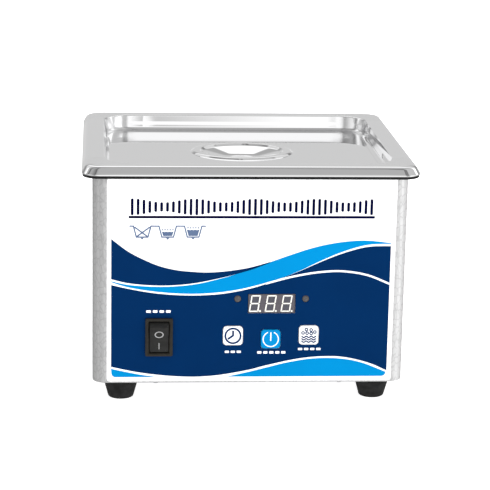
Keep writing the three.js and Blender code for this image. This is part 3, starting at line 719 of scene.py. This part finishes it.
def control_openings(corner_steps, lamp_outline):
    """Outlines round every control."""
    squares = [(key, KEY_OPENING, KEY_OPENING, 2.2, 6) for key in KEYS]
    squares.append(("display_module", *DISPLAY_OPENING, 0.5, corner_steps))
    squares.append(("switch_housing", *SWITCH_OPENING, 0.8, corner_steps))
    outlines = []
    for node, width, height, radius, steps in squares:
        at = middle(node)
        outlines.append(rounded_loop(at.x, at.z, width, height, radius, steps))
    return outlines + [lamp_outline(middle(lamp)) for lamp in LAMPS]


def wall_cutters(outlines, wall):
    """Solids through the front or rear wall, 3 mm to either side of it."""
    return [flat_mesh("cutter", [outline], wall + 3, 6) for outline in outlines]


def rear_openings():
    inlet = middle("mains_inlet")
    outlines = [rounded_loop(inlet.x, inlet.z, *INLET_OPENING, 0.8, 4)]
    for screw in ("inlet_screw_1", "inlet_screw_2"):
        at = middle(screw)
        outlines.append(arc(at.x, at.z, 1.8, 0, 360, 24)[:-1])
    first_x, z = FIRST_VENT
    outlines += [rounded_loop(first_x + i * VENT_PITCH, z, VENT_WIDTH, VENT_HEIGHT, 1.4, 6)
                 for i in range(VENT_COUNT)]
    return outlines


def slab(low, high):
    x0, y0, z0 = low
    x1, y1, z1 = high
    outline = ((x0, y0), (x1, y0), (x1, y1), (x0, y1))
    return skin("slab", [[(x, y, z) for x, y in outline] for z in (z0, z1)], flat_ends=True)


def casing_lips():
    """Turned-in lips at the foot of the four walls."""
    side_x = casing_high.x
    top = LIP_Z + LIP_THICKNESS
    lips = []
    for side in (-1, 1):
        y0, y1 = sorted((side * (REAR - LIP_START), side * (REAR - END_LIP_STOP)))
        lips.append(slab((-LIP_HALF_WIDTH, y0, LIP_Z), (LIP_HALF_WIDTH, y1, top)))
        x0, x1 = sorted((side * (side_x - LIP_START), side * (side_x - SIDE_LIP_STOP)))
        lips.append(slab((x0, -LIP_HALF_DEPTH, LIP_Z), (x1, LIP_HALF_DEPTH, top)))
    return lips


def lip_cutters():
    holes = []
    for i in range(4):
        at = middle(f"bottom_screw_{i + 1}")
        profile = [(0, LIP_Z - 0.7), (1.7, LIP_Z - 0.7), (1.7, LIP_Z + 2.2), (0, LIP_Z + 2.2)]
        holes.append(lathe("cutter", profile, (at.x, at.y, 0), "Z", 20))
    return holes


def casing_levels():
    """Heights of the casing's surface points, from the foot up."""
    low, high = casing_low.z, casing_high.z
    count = int((high - low) / SKIN_PITCH) - 1
    return [low, low + 0.25, *(low + SKIN_PITCH * (i + 1) for i in range(count)), high]


def casing_shell():
    walk = outline_walk(casing_high.x - casing_low.x, REAR - FRONT, CASING_CORNER, SKIN_PITCH)
    rings = []
    for z in reversed(casing_levels()):
        tuck = 0.3 if z == casing_low.z else 0.0
        ring = []
        for x, y, nx, ny, along in walk:
            free = under_film(x, y, z)
            lift = embossing(along, z) * free * near_edge(z) - tuck
            lift = min(lift, 0.0) if free < 1 else lift
            ring.append((x + nx * lift, y + ny * lift, z))
        rings.append(ring)
    piece = stand_in(skin("casing_shell", rings), "casing_wrap")
    thicken(piece, 1.0)
    front = control_openings(6, lambda at: rounded_loop(at.x, at.z, 4.2, 4.2, 2.09, 6))
    cutters = wall_cutters(front, FRONT) + wall_cutters(rear_openings(), REAR)
    combine(piece, joined("cutters", cutters), "DIFFERENCE")
    for lip in casing_lips():
        combine(piece, lip, "UNION")
    combine(piece, joined("cutters", lip_cutters()), "DIFFERENCE")


# ---- front panel artwork
ART_LEFT, ART_RIGHT = -72.3, 73.2
KEYS = ("time_key", "on_off_key", "degas_key")
LAMPS = ("led_left", "led_right")
KEY_OPENING = 10.8
DISPLAY_OPENING = (25.0, 10.5)
SWITCH_OPENING = (13.0, 19.6)


def curve_between(top, bottom):
    """A band between two curves that both run from left to right."""
    return smooth_line(top) + smooth_line(bottom)[::-1]


def panel_artwork():
    upper_sweep = curve_between(
        [(ART_LEFT, 88.6), (-63.7, 82.0), (-55.4, 77.5), (-47.0, 74.0), (-38.7, 72.0), (-30.9, 71.1),
         (-23.2, 70.7), (-16.0, 71.0), (-8.3, 71.9), (0.0, 73.4), (10.1, 76.3)],
        [(ART_LEFT, 67.1), (-63.7, 65.0), (-51.7, 63.8), (-39.8, 63.8), (-27.8, 65.1), (-15.9, 67.6),
         (-7.0, 69.9), (1.1, 72.4), (10.1, 75.9)])
    printed("print_upper_sweep", [upper_sweep], NAVY)
    cyan_band = curve_between(
        [(ART_LEFT, 66.0), (-63.7, 64.1), (-51.7, 63.1), (-39.8, 63.2), (-27.8, 64.5), (-15.9, 67.3),
         (-7.0, 69.9), (1.1, 72.8), (9.9, 76.1), (20.0, 79.8), (30.1, 83.2), (38.9, 85.5), (48.4, 87.1),
         (57.8, 87.8), (65.4, 87.4), (ART_RIGHT, 86.4)],
        [(ART_LEFT, 65.5), (-63.7, 62.8), (-51.7, 60.7), (-39.7, 59.5), (-27.8, 59.2), (-15.8, 60.0),
         (-5.0, 61.7), (7.6, 64.9), (17.0, 67.9), (26.5, 71.9), (35.9, 76.5), (45.3, 80.7), (54.8, 84.0),
         (62.9, 85.7), (ART_RIGHT, 86.0)])
    printed("print_cyan_band", [cyan_band], CYAN)
    field_top = [(ART_LEFT, 64.0), (-63.7, 62.0), (-51.7, 59.8), (-39.7, 58.6), (-27.8, 58.3),
                 (-15.8, 59.0), (-5.0, 60.8), (3.5, 62.9), (10.8, 65.4), (17.0, 67.8), (26.5, 71.7),
                 (35.9, 76.0), (45.3, 79.9), (54.8, 83.0), (62.9, 84.6), (ART_RIGHT, 84.8)]
    field_bottom = [(ART_LEFT, 19.6), (-60.0, 16.9), (-48.5, 15.2), (-37.1, 14.2), (-26.8, 14.0),
                    (-17.0, 14.7), (-8.5, 16.0), (1.1, 17.9), (8.5, 19.9), (22.5, 23.1), (33.0, 24.6),
                    (42.2, 25.0), (48.4, 24.7), (55.4, 23.5), (64.5, 20.9), (ART_RIGHT, 17.0)]
    printed("print_navy_field", [curve_between(field_top, field_bottom), *control_holes()], NAVY)
    inner_arc = [(8.0, 64.6), (12.5, 65.9), (19.5, 67.8), (26.5, 69.3), (32.8, 70.4), (39.1, 71.1),
                 (45.4, 71.4), (51.7, 71.0), (58.0, 70.0), (64.3, 68.2), (ART_RIGHT, 64.4)]
    printed("print_white_arc", [stroke(smooth_line(inner_arc), 1.0)], WHITE_INK, level=1)
    low_left = smooth_line([(ART_LEFT, 18.5), (-65.7, 17.0), (-57.5, 15.3), (-49.7, 14.1)])
    low_left += [(-49.7, 13.9), (-69.9, 13.9)] + arc(-69.9, 16.1, 2.2, 270, 180, 6)
    printed("print_cyan_corner", [low_left], CYAN)
    low_right = smooth_line([(-11.6, 13.9), (1.1, 16.8), (10.5, 19.2), (19.2, 21.4), (31.3, 23.5),
                             (42.2, 24.0), (52.5, 23.1), (61.5, 20.8), (72.7, 16.2)])
    low_right += arc(70.5, 16.1, 2.2, 0, -90, 6)
    printed("print_cyan_hump", [low_right], CYAN)


def control_holes():
    """Openings in the print round every control."""
    return control_openings(3, lambda at: arc(at.x, at.z, 1.9, 0, 360, 32)[:-1])


def title_band():
    """A row of upright bars like a sound trace, over a long rule."""
    left, right = -63.1, 63.9
    low, high = 101.2, 110.0
    count = 42
    bars = []
    for i in range(count):
        x = left + (right - left) * (i + 0.5) / count
        swell = 0.5 + 0.5 * math.cos(2 * math.pi * i / 10.5)
        height = (high - low) * (0.55 + 0.45 * swell)
        bars.append(rounded_loop(x, (low + high) / 2, 1.45, height, 0.65, 4))
    printed("print_title_bars", bars, TITLE_INK)
    rule = rounded_loop((left + right) / 2, 100.2, right - left + 0.6, 1.35, 0.3, 2)
    printed("print_title_rule", [rule], TITLE_INK)


def tub_symbols():
    """Three little tubs on one line: empty and crossed out, half full, and two thirds full."""
    top, bottom, line = 95.4, 89.6, 0.72
    for i, fill in enumerate((None, 0.48, 0.66)):
        cx = -56.4 + i * 13.15
        outline = [(cx - 6.57, top), (cx - 4.5, top), (cx - 3.0, bottom), (cx + 3.0, bottom),
                   (cx + 4.5, top), (cx + 6.57, top)]
        loops = [stroke(outline, line)]
        foot = bottom - line / 2 - 0.05
        loops.append([(cx - 0.9, foot), (cx + 0.9, foot), (cx, foot - 1.1)])
        if fill is None:
            for level, (letter, side) in enumerate((("a", -1), ("b", 1)), 1):
                bar = stroke([(cx + side * 3.9, top - 0.5), (cx - side * 2.6, bottom + 0.4)], line)
                printed("print_tub_cross_" + letter, [bar], SLATE, level)
        else:
            height = (top - bottom) * fill
            spread = 3.0 + 1.5 * fill - 0.75
            water = [(cx - 2.35, bottom + 0.6), (cx + 2.35, bottom + 0.6), (cx + spread, bottom + height)]
            water += [(cx + spread - 2 * spread * t / 12, bottom + height + 0.18 * math.sin(t * 1.9))
                      for t in range(1, 13)]
            loops.append(water)
            level = bottom + height + 1.1
            loops += [rounded_loop(cx + (mark - 2) * 1.35, level, 0.85, 0.7, 0.2, 2) for mark in range(5)]
        printed(f"print_tub_{i + 1}", loops, SLATE)


def caption_marks():
    """Short plain dashes where the controls have their captions."""
    rows = {"switch": (-47.7, 49.7, 4, 13.7, 2.4), "time": (-8.5, 27.6, 3, 9.4, 2.2),
            "on_off": (11.8, 27.2, 5, 15.8, 2.4), "degas": (31.8, 29.0, 4, 12.9, 2.2)}
    for name, (cx, cz, count, width, height) in rows.items():
        pitch = width / count
        dashes = [rounded_loop(cx + (i - (count - 1) / 2) * pitch, cz, pitch * 0.7, height * 0.55, 0.3, 3)
                  for i in range(count)]
        printed(f"print_{name}_mark", dashes, WHITE_INK, level=1)


# ---- keys, display and lamps
ICON_THICKNESS = 0.05


def quarter_turn(steps):
    """Angles from 0 to a right angle."""
    return [math.pi / 2 * i / steps for i in range(steps + 1)]


def panel_skin(name, rows, at, corner_steps):
    """A closed skin over rounded rectangles round a point of the panel, as (width, height, radius, y)."""
    rings = [[(at.x + u, y, at.z + v) for u, v in rectangle_ring(width, height, radius, corner_steps, 3)]
             for width, height, radius, y in rows]
    return skin(name, rings, (at.x, rows[0][3], at.z), (at.x, rows[-1][3], at.z))


def key_caps():
    """Flanged caps with a softly rounded front edge."""
    for key in KEYS:
        low, high, at = span(key)
        face, back = low.y, high.y
        flange, cap, round_off = 12.7, 10.2, 0.45
        front = FRONT + 1.3
        rows = [(flange, 1.5, back), (flange, 1.5, front), (cap, 1.9, front), (cap, 1.9, face + 0.5)]
        rows += [(cap - 2 * round_off * (1 - math.cos(a)), 1.9, face + round_off * (1 - math.sin(a)))
                 for a in quarter_turn(5)]
        stand_in(panel_skin(key + "_cap", [(row[0], *row) for row in rows], at, 8), key, key)


def icon(key, name, loops, material):
    low, _, at = span(key)
    placed = [[(at.x + u, at.z + v) for u, v in loop] for loop in loops]
    finish_piece(flat_mesh(name, placed, low.y, ICON_THICKNESS), material, body=key)


def key_icons():
    icon("time_key", "icon_dial", ring_loops(0, 0, 4.5, 3.5), NAVY)
    icon("time_key", "icon_hands", [stroke([(0.05, 2.9), (0.05, 0.15), (-2.65, -1.75)], 1.05)], NAVY)
    power = stroke(arc(0, 0, 4.02, 113, 427, 56), 0.55)
    icon("on_off_key", "icon_open_ring", [power], WHITE_INK)
    icon("on_off_key", "icon_stem", [rounded_loop(0, 1.45, 0.6, 4.7, 0.2, 3)], WHITE_INK)
    bubbles = [(-1.35, 3.1), (1.2, 2.9), (-3.05, 1.3), (-0.9, 1.15), (1.25, 1.0), (3.15, 1.75)]
    loops = [loop for u, v in bubbles for loop in ring_loops(u, v, 0.98, 0.4, 20)]
    icon("degas_key", "icon_bubbles", loops, NAVY)
    reach, wave, swing = 3.9, 2.6, 0.36
    waves = []
    for level in (-0.9, -2.2, -3.5):
        places = [2 * reach * t / 40 for t in range(41)]
        line = [(u - reach, level + swing * math.cos(2 * math.pi * u / wave)) for u in places]
        waves.append(stroke(line, 0.7))
    icon("degas_key", "icon_waves", waves, NAVY)


SLANT = math.tan(math.radians(8.3))
DIGIT_WIDTH, DIGIT_HEIGHT, SEGMENT_WIDTH = 4.35, 8.35, 0.66
SEGMENT_GAP = 0.12
DIGIT_OFFSETS = (-8.75, -0.45, 7.85)     # from the display's middle
CELL_HALF_WIDTH, CELL_HALF_HEIGHT = 1.55, 1.45


def display_digits():
    """Three seven-segment digits with every segment showing, each with its point."""
    low, _, at = span("display_module")
    half_width, half_height, pen, gap = DIGIT_WIDTH / 2, DIGIT_HEIGHT / 2, SEGMENT_WIDTH / 2, SEGMENT_GAP
    wide, narrow = half_width + pen - gap, half_width - pen - gap
    tip = narrow + pen
    middle_bar = [(-tip, 0), (-narrow, pen), (narrow, pen), (tip, 0), (narrow, -pen), (-narrow, -pen)]

    def lean(points, cx):
        return [(cx + u + v * SLANT, at.z + v) for u, v in points]

    lit, dark = [], []
    for offset in DIGIT_OFFSETS:
        cx = at.x + offset
        lit.append(lean(middle_bar, cx))
        for end in (-1, 1):
            edge = end * half_height
            lit.append(lean([(-wide, edge + end * pen), (wide, edge + end * pen), (narrow, edge - end * pen),
                             (-narrow, edge - end * pen)], cx))
            for side in (-1, 1):
                outer, inner = side * (half_width + pen), side * (half_width - pen)
                upright = [(outer, edge + end * (pen - gap)), (inner, edge - end * (pen + gap)),
                           (inner, end * (pen + gap)), (side * half_width, end * gap),
                           (outer, end * (pen + gap))]
                lit.append(lean(upright, cx))
        lit.append(arc(cx + 2.75, at.z - half_height + 0.1, 0.52, 0, 360, 16)[:-1])
        for centre in (-half_height / 2, half_height / 2):
            low_v, high_v = centre - CELL_HALF_HEIGHT, centre + CELL_HALF_HEIGHT
            dark.append(lean([(-CELL_HALF_WIDTH, low_v), (CELL_HALF_WIDTH, low_v),
                              (CELL_HALF_WIDTH, high_v), (-CELL_HALF_WIDTH, high_v)], cx))
    for name, loops, material, thickness in (("display_segments", lit, SEGMENT, 0.1),
                                             ("display_cells", dark, DARK_CELL, 0.05)):
        finish_piece(flat_mesh(name, loops, low.y, thickness), material)


def lamp_domes():
    for lamp in LAMPS:
        low, high, at = span(lamp)
        radius = (high.x - low.x) / 2
        dome = [(radius * math.sin(a), low.y + 1.1 * (1 - math.cos(a))) for a in quarter_turn(10)]
        profile = dome + [(radius, high.y), (0, high.y)]
        stand_in(lathe(lamp + "_dome", profile, (at.x, 0, at.z), "Y", 32), lamp)


# ---- rocker switch
ROCKER_REST = math.radians(12)         # the lower end is pressed in
ROCKER_WIDTH, ROCKER_HALF = 9.95, 7.0
ROCKER_VALLEY, ROCKER_CREST = -3.0, -4.68
PIVOT_DEPTH = 1.03                     # how far the pivot lies behind the casing's front


def rocker_pivot():
    at = middle("switch_housing")
    return Matrix.Translation(Vector((at.x, FRONT + PIVOT_DEPTH, at.z)) * MM)


def in_rocker_place(mesh):
    """Turns a mesh made on the rocker's pivot to its rest position in the panel."""
    mesh.transform(rocker_pivot() @ Matrix.Rotation(ROCKER_REST, 4, "X"))
    return mesh


def pivot_pin(radius, reach):
    """A pin along X, made on the pivot."""
    mesh = lathe("pin", [(0, -reach), (radius, -reach), (radius, reach), (0, reach)], (0, 0, 0), "Y", 24)
    mesh.transform(Matrix.Rotation(math.pi / 2, 4, "Z"))
    return mesh


def rocker_face(v):
    """The face's y at height v above the pivot, before the rest tilt; forwards is negative."""
    return ROCKER_VALLEY + (ROCKER_CREST - ROCKER_VALLEY) * (abs(v) / ROCKER_HALF) ** 1.2


def rocker_profile():
    """The rocker's outline from the side, as (y, z) from the pivot; its ends are arcs round the pivot."""
    steps = 14
    heights = [ROCKER_HALF - 2 * ROCKER_HALF * i / steps for i in range(steps + 1)]
    radius = math.hypot(ROCKER_HALF, ROCKER_CREST)
    first = math.degrees(math.asin(-ROCKER_CREST / radius))
    end = [(-y, z) for z, y in arc(0, 0, radius, first, -18, 8)[1:]]
    return [(rocker_face(v), v) for v in heights] + [(y, -z) for y, z in end] + [(3, 0)] + end[::-1]


def rocker():
    sides = [[(x, y, z) for y, z in rocker_profile()] for x in (-ROCKER_WIDTH / 2, ROCKER_WIDTH / 2)]
    mesh = skin("rocker", sides, flat_ends=True)
    with edited(mesh) as shape:
        sharp = [edge for edge in shape.edges if edge.calc_face_angle(0) > math.radians(30)]
        bmesh.ops.bevel(shape, geom=sharp, offset=0.35 * MM, segments=3, affect="EDGES", profile=0.5)
    piece = stand_in(in_rocker_place(mesh), "switch_rocker", "rocker")
    combine(piece, in_rocker_place(pivot_pin(1.2, 6)), "UNION")
    off_ring = [[(u * 1.1, v) for u, v in loop] for loop in ring_loops(0, 2.7, 2.15, 1.6)]
    on_bar = [rounded_loop(0, -3.9, 0.45, 3.3, 0.2, 3)]
    for name, loops in (("rocker_ring", off_ring), ("rocker_bar", on_bar)):
        mark = flat_mesh(name, loops, 0, ICON_THICKNESS)
        for vertex in mark.vertices:
            vertex.co.y += rocker_face(vertex.co.z / MM) * MM
        finish_piece(in_rocker_place(mark), GREY_INK, body="rocker")


def switch_frame():
    """Bezel with a raised lip and a bevelled mouth, over the switch's body."""
    low, high, at = span("switch_housing")
    face, seat, back = low.y, overlay_low.y - 0.2, high.y
    wide, tall = high.x - low.x, high.z - low.z
    floor = FRONT + PIVOT_DEPTH + 4
    rows = [(10.2, 17, 0.4, floor), (10.2, 17, 0.4, face + 0.9), (10.7, 17.4, 0.5, face + 0.35),
            (11.1, 17.7, 0.6, face + 0.3), (11.5, 18.0, 0.6, face), (wide - 0.7, tall - 0.7, 0.6, face),
            (wide - 0.15, tall - 0.15, 0.75, face + 0.12), (wide, tall, 0.8, face + 0.4),
            (wide, tall, 0.8, seat), (12.4, 19, 0.5, seat), (12.4, 19, 0.5, back)]
    piece = stand_in(panel_skin("switch_frame", rows, at, 6), "switch_housing")
    pin = pivot_pin(1.5, 7)
    pin.transform(rocker_pivot())
    tools = [pin]
    for name in ("switch_terminal_1", "switch_terminal_2"):
        z = middle(name).z
        tools.append(slab((at.x - 2.7, back - 1.5, z - 0.7), (at.x + 2.7, back + 1, z + 0.7)))
    combine(piece, joined("cutters", tools), "DIFFERENCE")


# ---- feet and screws
def feet():
    for i in range(4):
        node = f"foot_{i + 1}"
        _, high, at = span(node)
        top = high.z
        profile = filleted([(4.6, 0, 0), (6.6, 0, 1.0), (9.2, 9.4, 1.2), (9.2, top, 0.35), (6, top, 0),
                            (2.4, top, 0), (2.4, 4, 0), (4.6, 4, 0), (4.6, 0, 0)], 5)
        stand_in(lathe(node + "_rubber", profile, (at.x, at.y, 0), "Z", 56), node)


def cross_arms(size, width, depth):
    """The two bars of a cross recess, which goes depth inwards from z = 0, the head's face."""
    return [slab((-x, -y, -1), (x, y, depth)) for x, y in ((size, width), (width, size))]


def screw(node, profile, head_at, faces_down):
    """A turned screw with a cross recess, its head facing down or to the rear."""
    at = middle(node)
    if faces_down:
        axis, base = "Z", (at.x, at.y, 0)
        place = Matrix.Translation(Vector((at.x, at.y, head_at)) * MM)
    else:
        axis, base = "Y", (at.x, 0, at.z)
        place = Matrix.Translation(Vector((at.x, head_at, at.z)) * MM) @ Matrix.Rotation(math.pi / 2, 4, "X")
    piece = stand_in(lathe(node + "_turned", profile, base, axis, 36), node)
    for arm in cross_arms(1.15, 0.28, 0.8):
        arm.transform(place)
        combine(piece, arm, "DIFFERENCE")


def screws():
    for i in range(4):
        node = f"bottom_screw_{i + 1}"
        low, high, _ = span(node)
        seat = low.z + 1.6
        dome = [(2.3 * math.sin(a), seat - 0.3 - 1.3 * math.cos(a)) for a in quarter_turn(8)]
        shank = [(2.3, seat), (1.4, seat), (1.4, high.z - 0.4), (0.9, high.z), (0, high.z)]
        screw(node, dome + shank, low.z, True)
        node = f"foot_screw_{i + 1}"
        low, high, _ = span(node)
        head = filleted([(0, low.z, 0), (2.4, low.z + 0.2, 3), (4, low.z + 1.3, 0.6), (4, low.z + 2.4, 0.1),
                         (2, low.z + 2.4, 0), (2, high.z - 0.4, 0), (1.6, high.z, 0), (0, high.z, 0)], 4)
        screw(node, head, low.z, True)
    for i in range(2):
        node = f"inlet_screw_{i + 1}"
        low, high, _ = span(node)
        dome = [(2.7 * math.sin(a), high.y - 1.5 * (1 - math.cos(a))) for a in quarter_turn(8)]
        shank = [(2.7, high.y - 1.8), (1.4, high.y - 1.8), (1.4, low.y + 0.4), (0, low.y)]
        screw(node, dome + shank, high.y, False)


def eased_nodes():
    """Machined and moulded parts, with their sharp edges rounded off by a width."""
    widths = {"mains_inlet": 0.5, "heat_sink": 0.3, "transformer_core": 0.3, "transformer_winding": 0.9,
              "power_transistor": 0.3, "film_capacitor": 0.8, "time_key_switch": 0.25,
              "on_off_key_switch": 0.25, "degas_key_switch": 0.25, "display_module": 0.12,
              "inlet_blade_1": 0.4, "inlet_blade_2": 0.4, "inlet_blade_3": 0.4,
              "switch_terminal_1": 0.2, "switch_terminal_2": 0.2}
    for node, width in widths.items():
        eased_copy(node, width)


# ---- studio
def softbox(name, location, target, size, power):
    light = bpy.data.lights.new(name, "AREA")
    light.shape = "RECTANGLE"
    light.size, light.size_y = size
    light.energy = power
    lamp = add_object(name, light)
    lamp.location = location
    lamp.rotation_euler = (Vector(target) - Vector(location)).to_track_quat("-Z", "Y").to_euler()
    lamp.visible_glossy = False


def pale_floor():
    reach = 30.0
    mesh = bpy.data.meshes.new("floor")
    corners = [(-reach, -reach, 0), (reach, -reach, 0), (reach, reach, 0), (-reach, reach, 0)]
    mesh.from_pydata(corners, [], [(0, 1, 2, 3)])
    paint = Paint("floor", (0.93, 0.93, 0.93), 0.8)
    paint.vary_colour(paint.noise(160, 2), (0.92, 0.92, 0.925))
    paint.set(Emission_Color=(1, 1, 1, 1), Emission_Strength=0.75)
    mesh.materials.append(paint.material)
    ground = add_object("floor", mesh)
    ground.visible_glossy = False


def brightness(tree, angle, stops):
    """Brightness from (degrees, value) stops; the ramp spans the whole turn and holds half values."""
    share = maths(tree, "DIVIDE", maths(tree, "ADD", angle, 180.0), 360.0)
    node = add_node(tree, "ValToRGB", Fac=share)
    elements = node.color_ramp.elements
    elements.remove(elements[-1])
    for i, (at, value) in enumerate(stops):
        element = elements[0] if i == 0 else elements.new((at + 180) / 360)
        element.position = (at + 180) / 360
        element.color = (value / 2, value / 2, value / 2, 1)
    return maths(tree, "MULTIPLY", node.outputs["Color"], 2.0)


def world_light():
    """Soft light from all round, with the darker zones that polished steel needs."""
    scene.world = bpy.data.worlds.new("studio")
    scene.world.use_nodes = True
    tree = scene.world.node_tree
    direction = add_node(tree, "TexCoord").outputs["Generated"]
    x, y, z = add_node(tree, "SeparateXYZ", direction).outputs

    def times(*values):
        return maths(tree, "MULTIPLY", *values)

    front = times(y, -1.0)
    rise = times(maths(tree, "ARCTAN2", z, front), DEGREES)
    turn = times(maths(tree, "ARCTAN2", x, front), DEGREES)
    base = brightness(tree, rise, [
        (-180, 0.68), (-150, 0.68), (-110, 0.6), (-60, 1.0), (-20, 1.05), (0, 1.2), (43.3, 1.2), (45.4, 0.5),
        (112, 0.5), (115, 1.3), (147, 1.3), (149, 0.45), (158, 0.45), (163, 0.665), (180, 0.665)])
    side = brightness(tree, turn, [
        (-180, 1), (-160, 1), (-152, 0.6), (-125, 0.6), (-112, 1), (-96, 1), (-94, 0.4), (-84, 0.4),
        (-82, 0.95), (-66, 0.85), (-50, 0.6), (-36, 0.36), (-30, 0.3), (-27, 0.75), (-13, 1), (20, 1),
        (22, 0.42), (36, 0.5), (44, 0.42), (47, 1.3), (120, 1.2), (126, 0.6), (152, 0.6), (160, 1),
        (180, 1)])
    across = times(ramp(tree, turn, 0, 1, 1.55, 1.7), ramp(tree, turn, 1, 0, 1.8, 6.0))
    upright = times(ramp(tree, rise, 0, 1, 13.6, 14.4), ramp(tree, rise, 1, 0, 25, 26))
    card = maths(tree, "ADD", times(times(across, upright), -0.45), 1.0)
    set_node(tree, tree.nodes["Background"], Strength=times(times(base, side), card), Color=(1, 1, 1, 1))


def studio():
    world_light()
    softbox("top_box", (0.0, -0.1, 1.5), (0, 0, 0.05), (2.2, 2.2), 22)
    softbox("front_box", (0.35, -1.6, 0.6), (0, 0, 0.06), (1.8, 1.2), 10)
    pale_floor()


CAMERA_PLACE = (-79.1, -1057.8, 332.6)
PITCH, YAW, ROLL = (math.radians(angle) for angle in (14.077, 4.42, 1.08))
LENS = 144.1


def camera():
    data = bpy.data.cameras.new("camera")
    data.lens = LENS
    data.sensor_width = 36
    data.clip_start, data.clip_end = 0.05, 100
    eye = add_object("camera", data)
    forward = Vector((math.sin(YAW) * math.cos(PITCH), math.cos(YAW) * math.cos(PITCH), -math.sin(PITCH)))
    right = Vector((math.cos(YAW), -math.sin(YAW), 0))
    up = right.cross(forward)
    turned_right = right * math.cos(ROLL) + up * math.sin(ROLL)
    turned_up = up * math.cos(ROLL) - right * math.sin(ROLL)
    matrix = Matrix((turned_right, turned_up, -forward)).transposed().to_4x4()
    matrix.translation = Vector(CAMERA_PLACE) * MM
    eye.matrix_world = matrix
    scene.camera = eye
    scene.view_settings.view_transform = "Standard"


camera()
studio()
dress_cad_nodes()
lid_shell()
rim_edging()
tank_shell()
casing_shell()
panel_artwork()
title_band()
tub_symbols()
caption_marks()
key_caps()
key_icons()
display_digits()
lamp_domes()
rocker()
switch_frame()
feet()
screws()
eased_nodes()
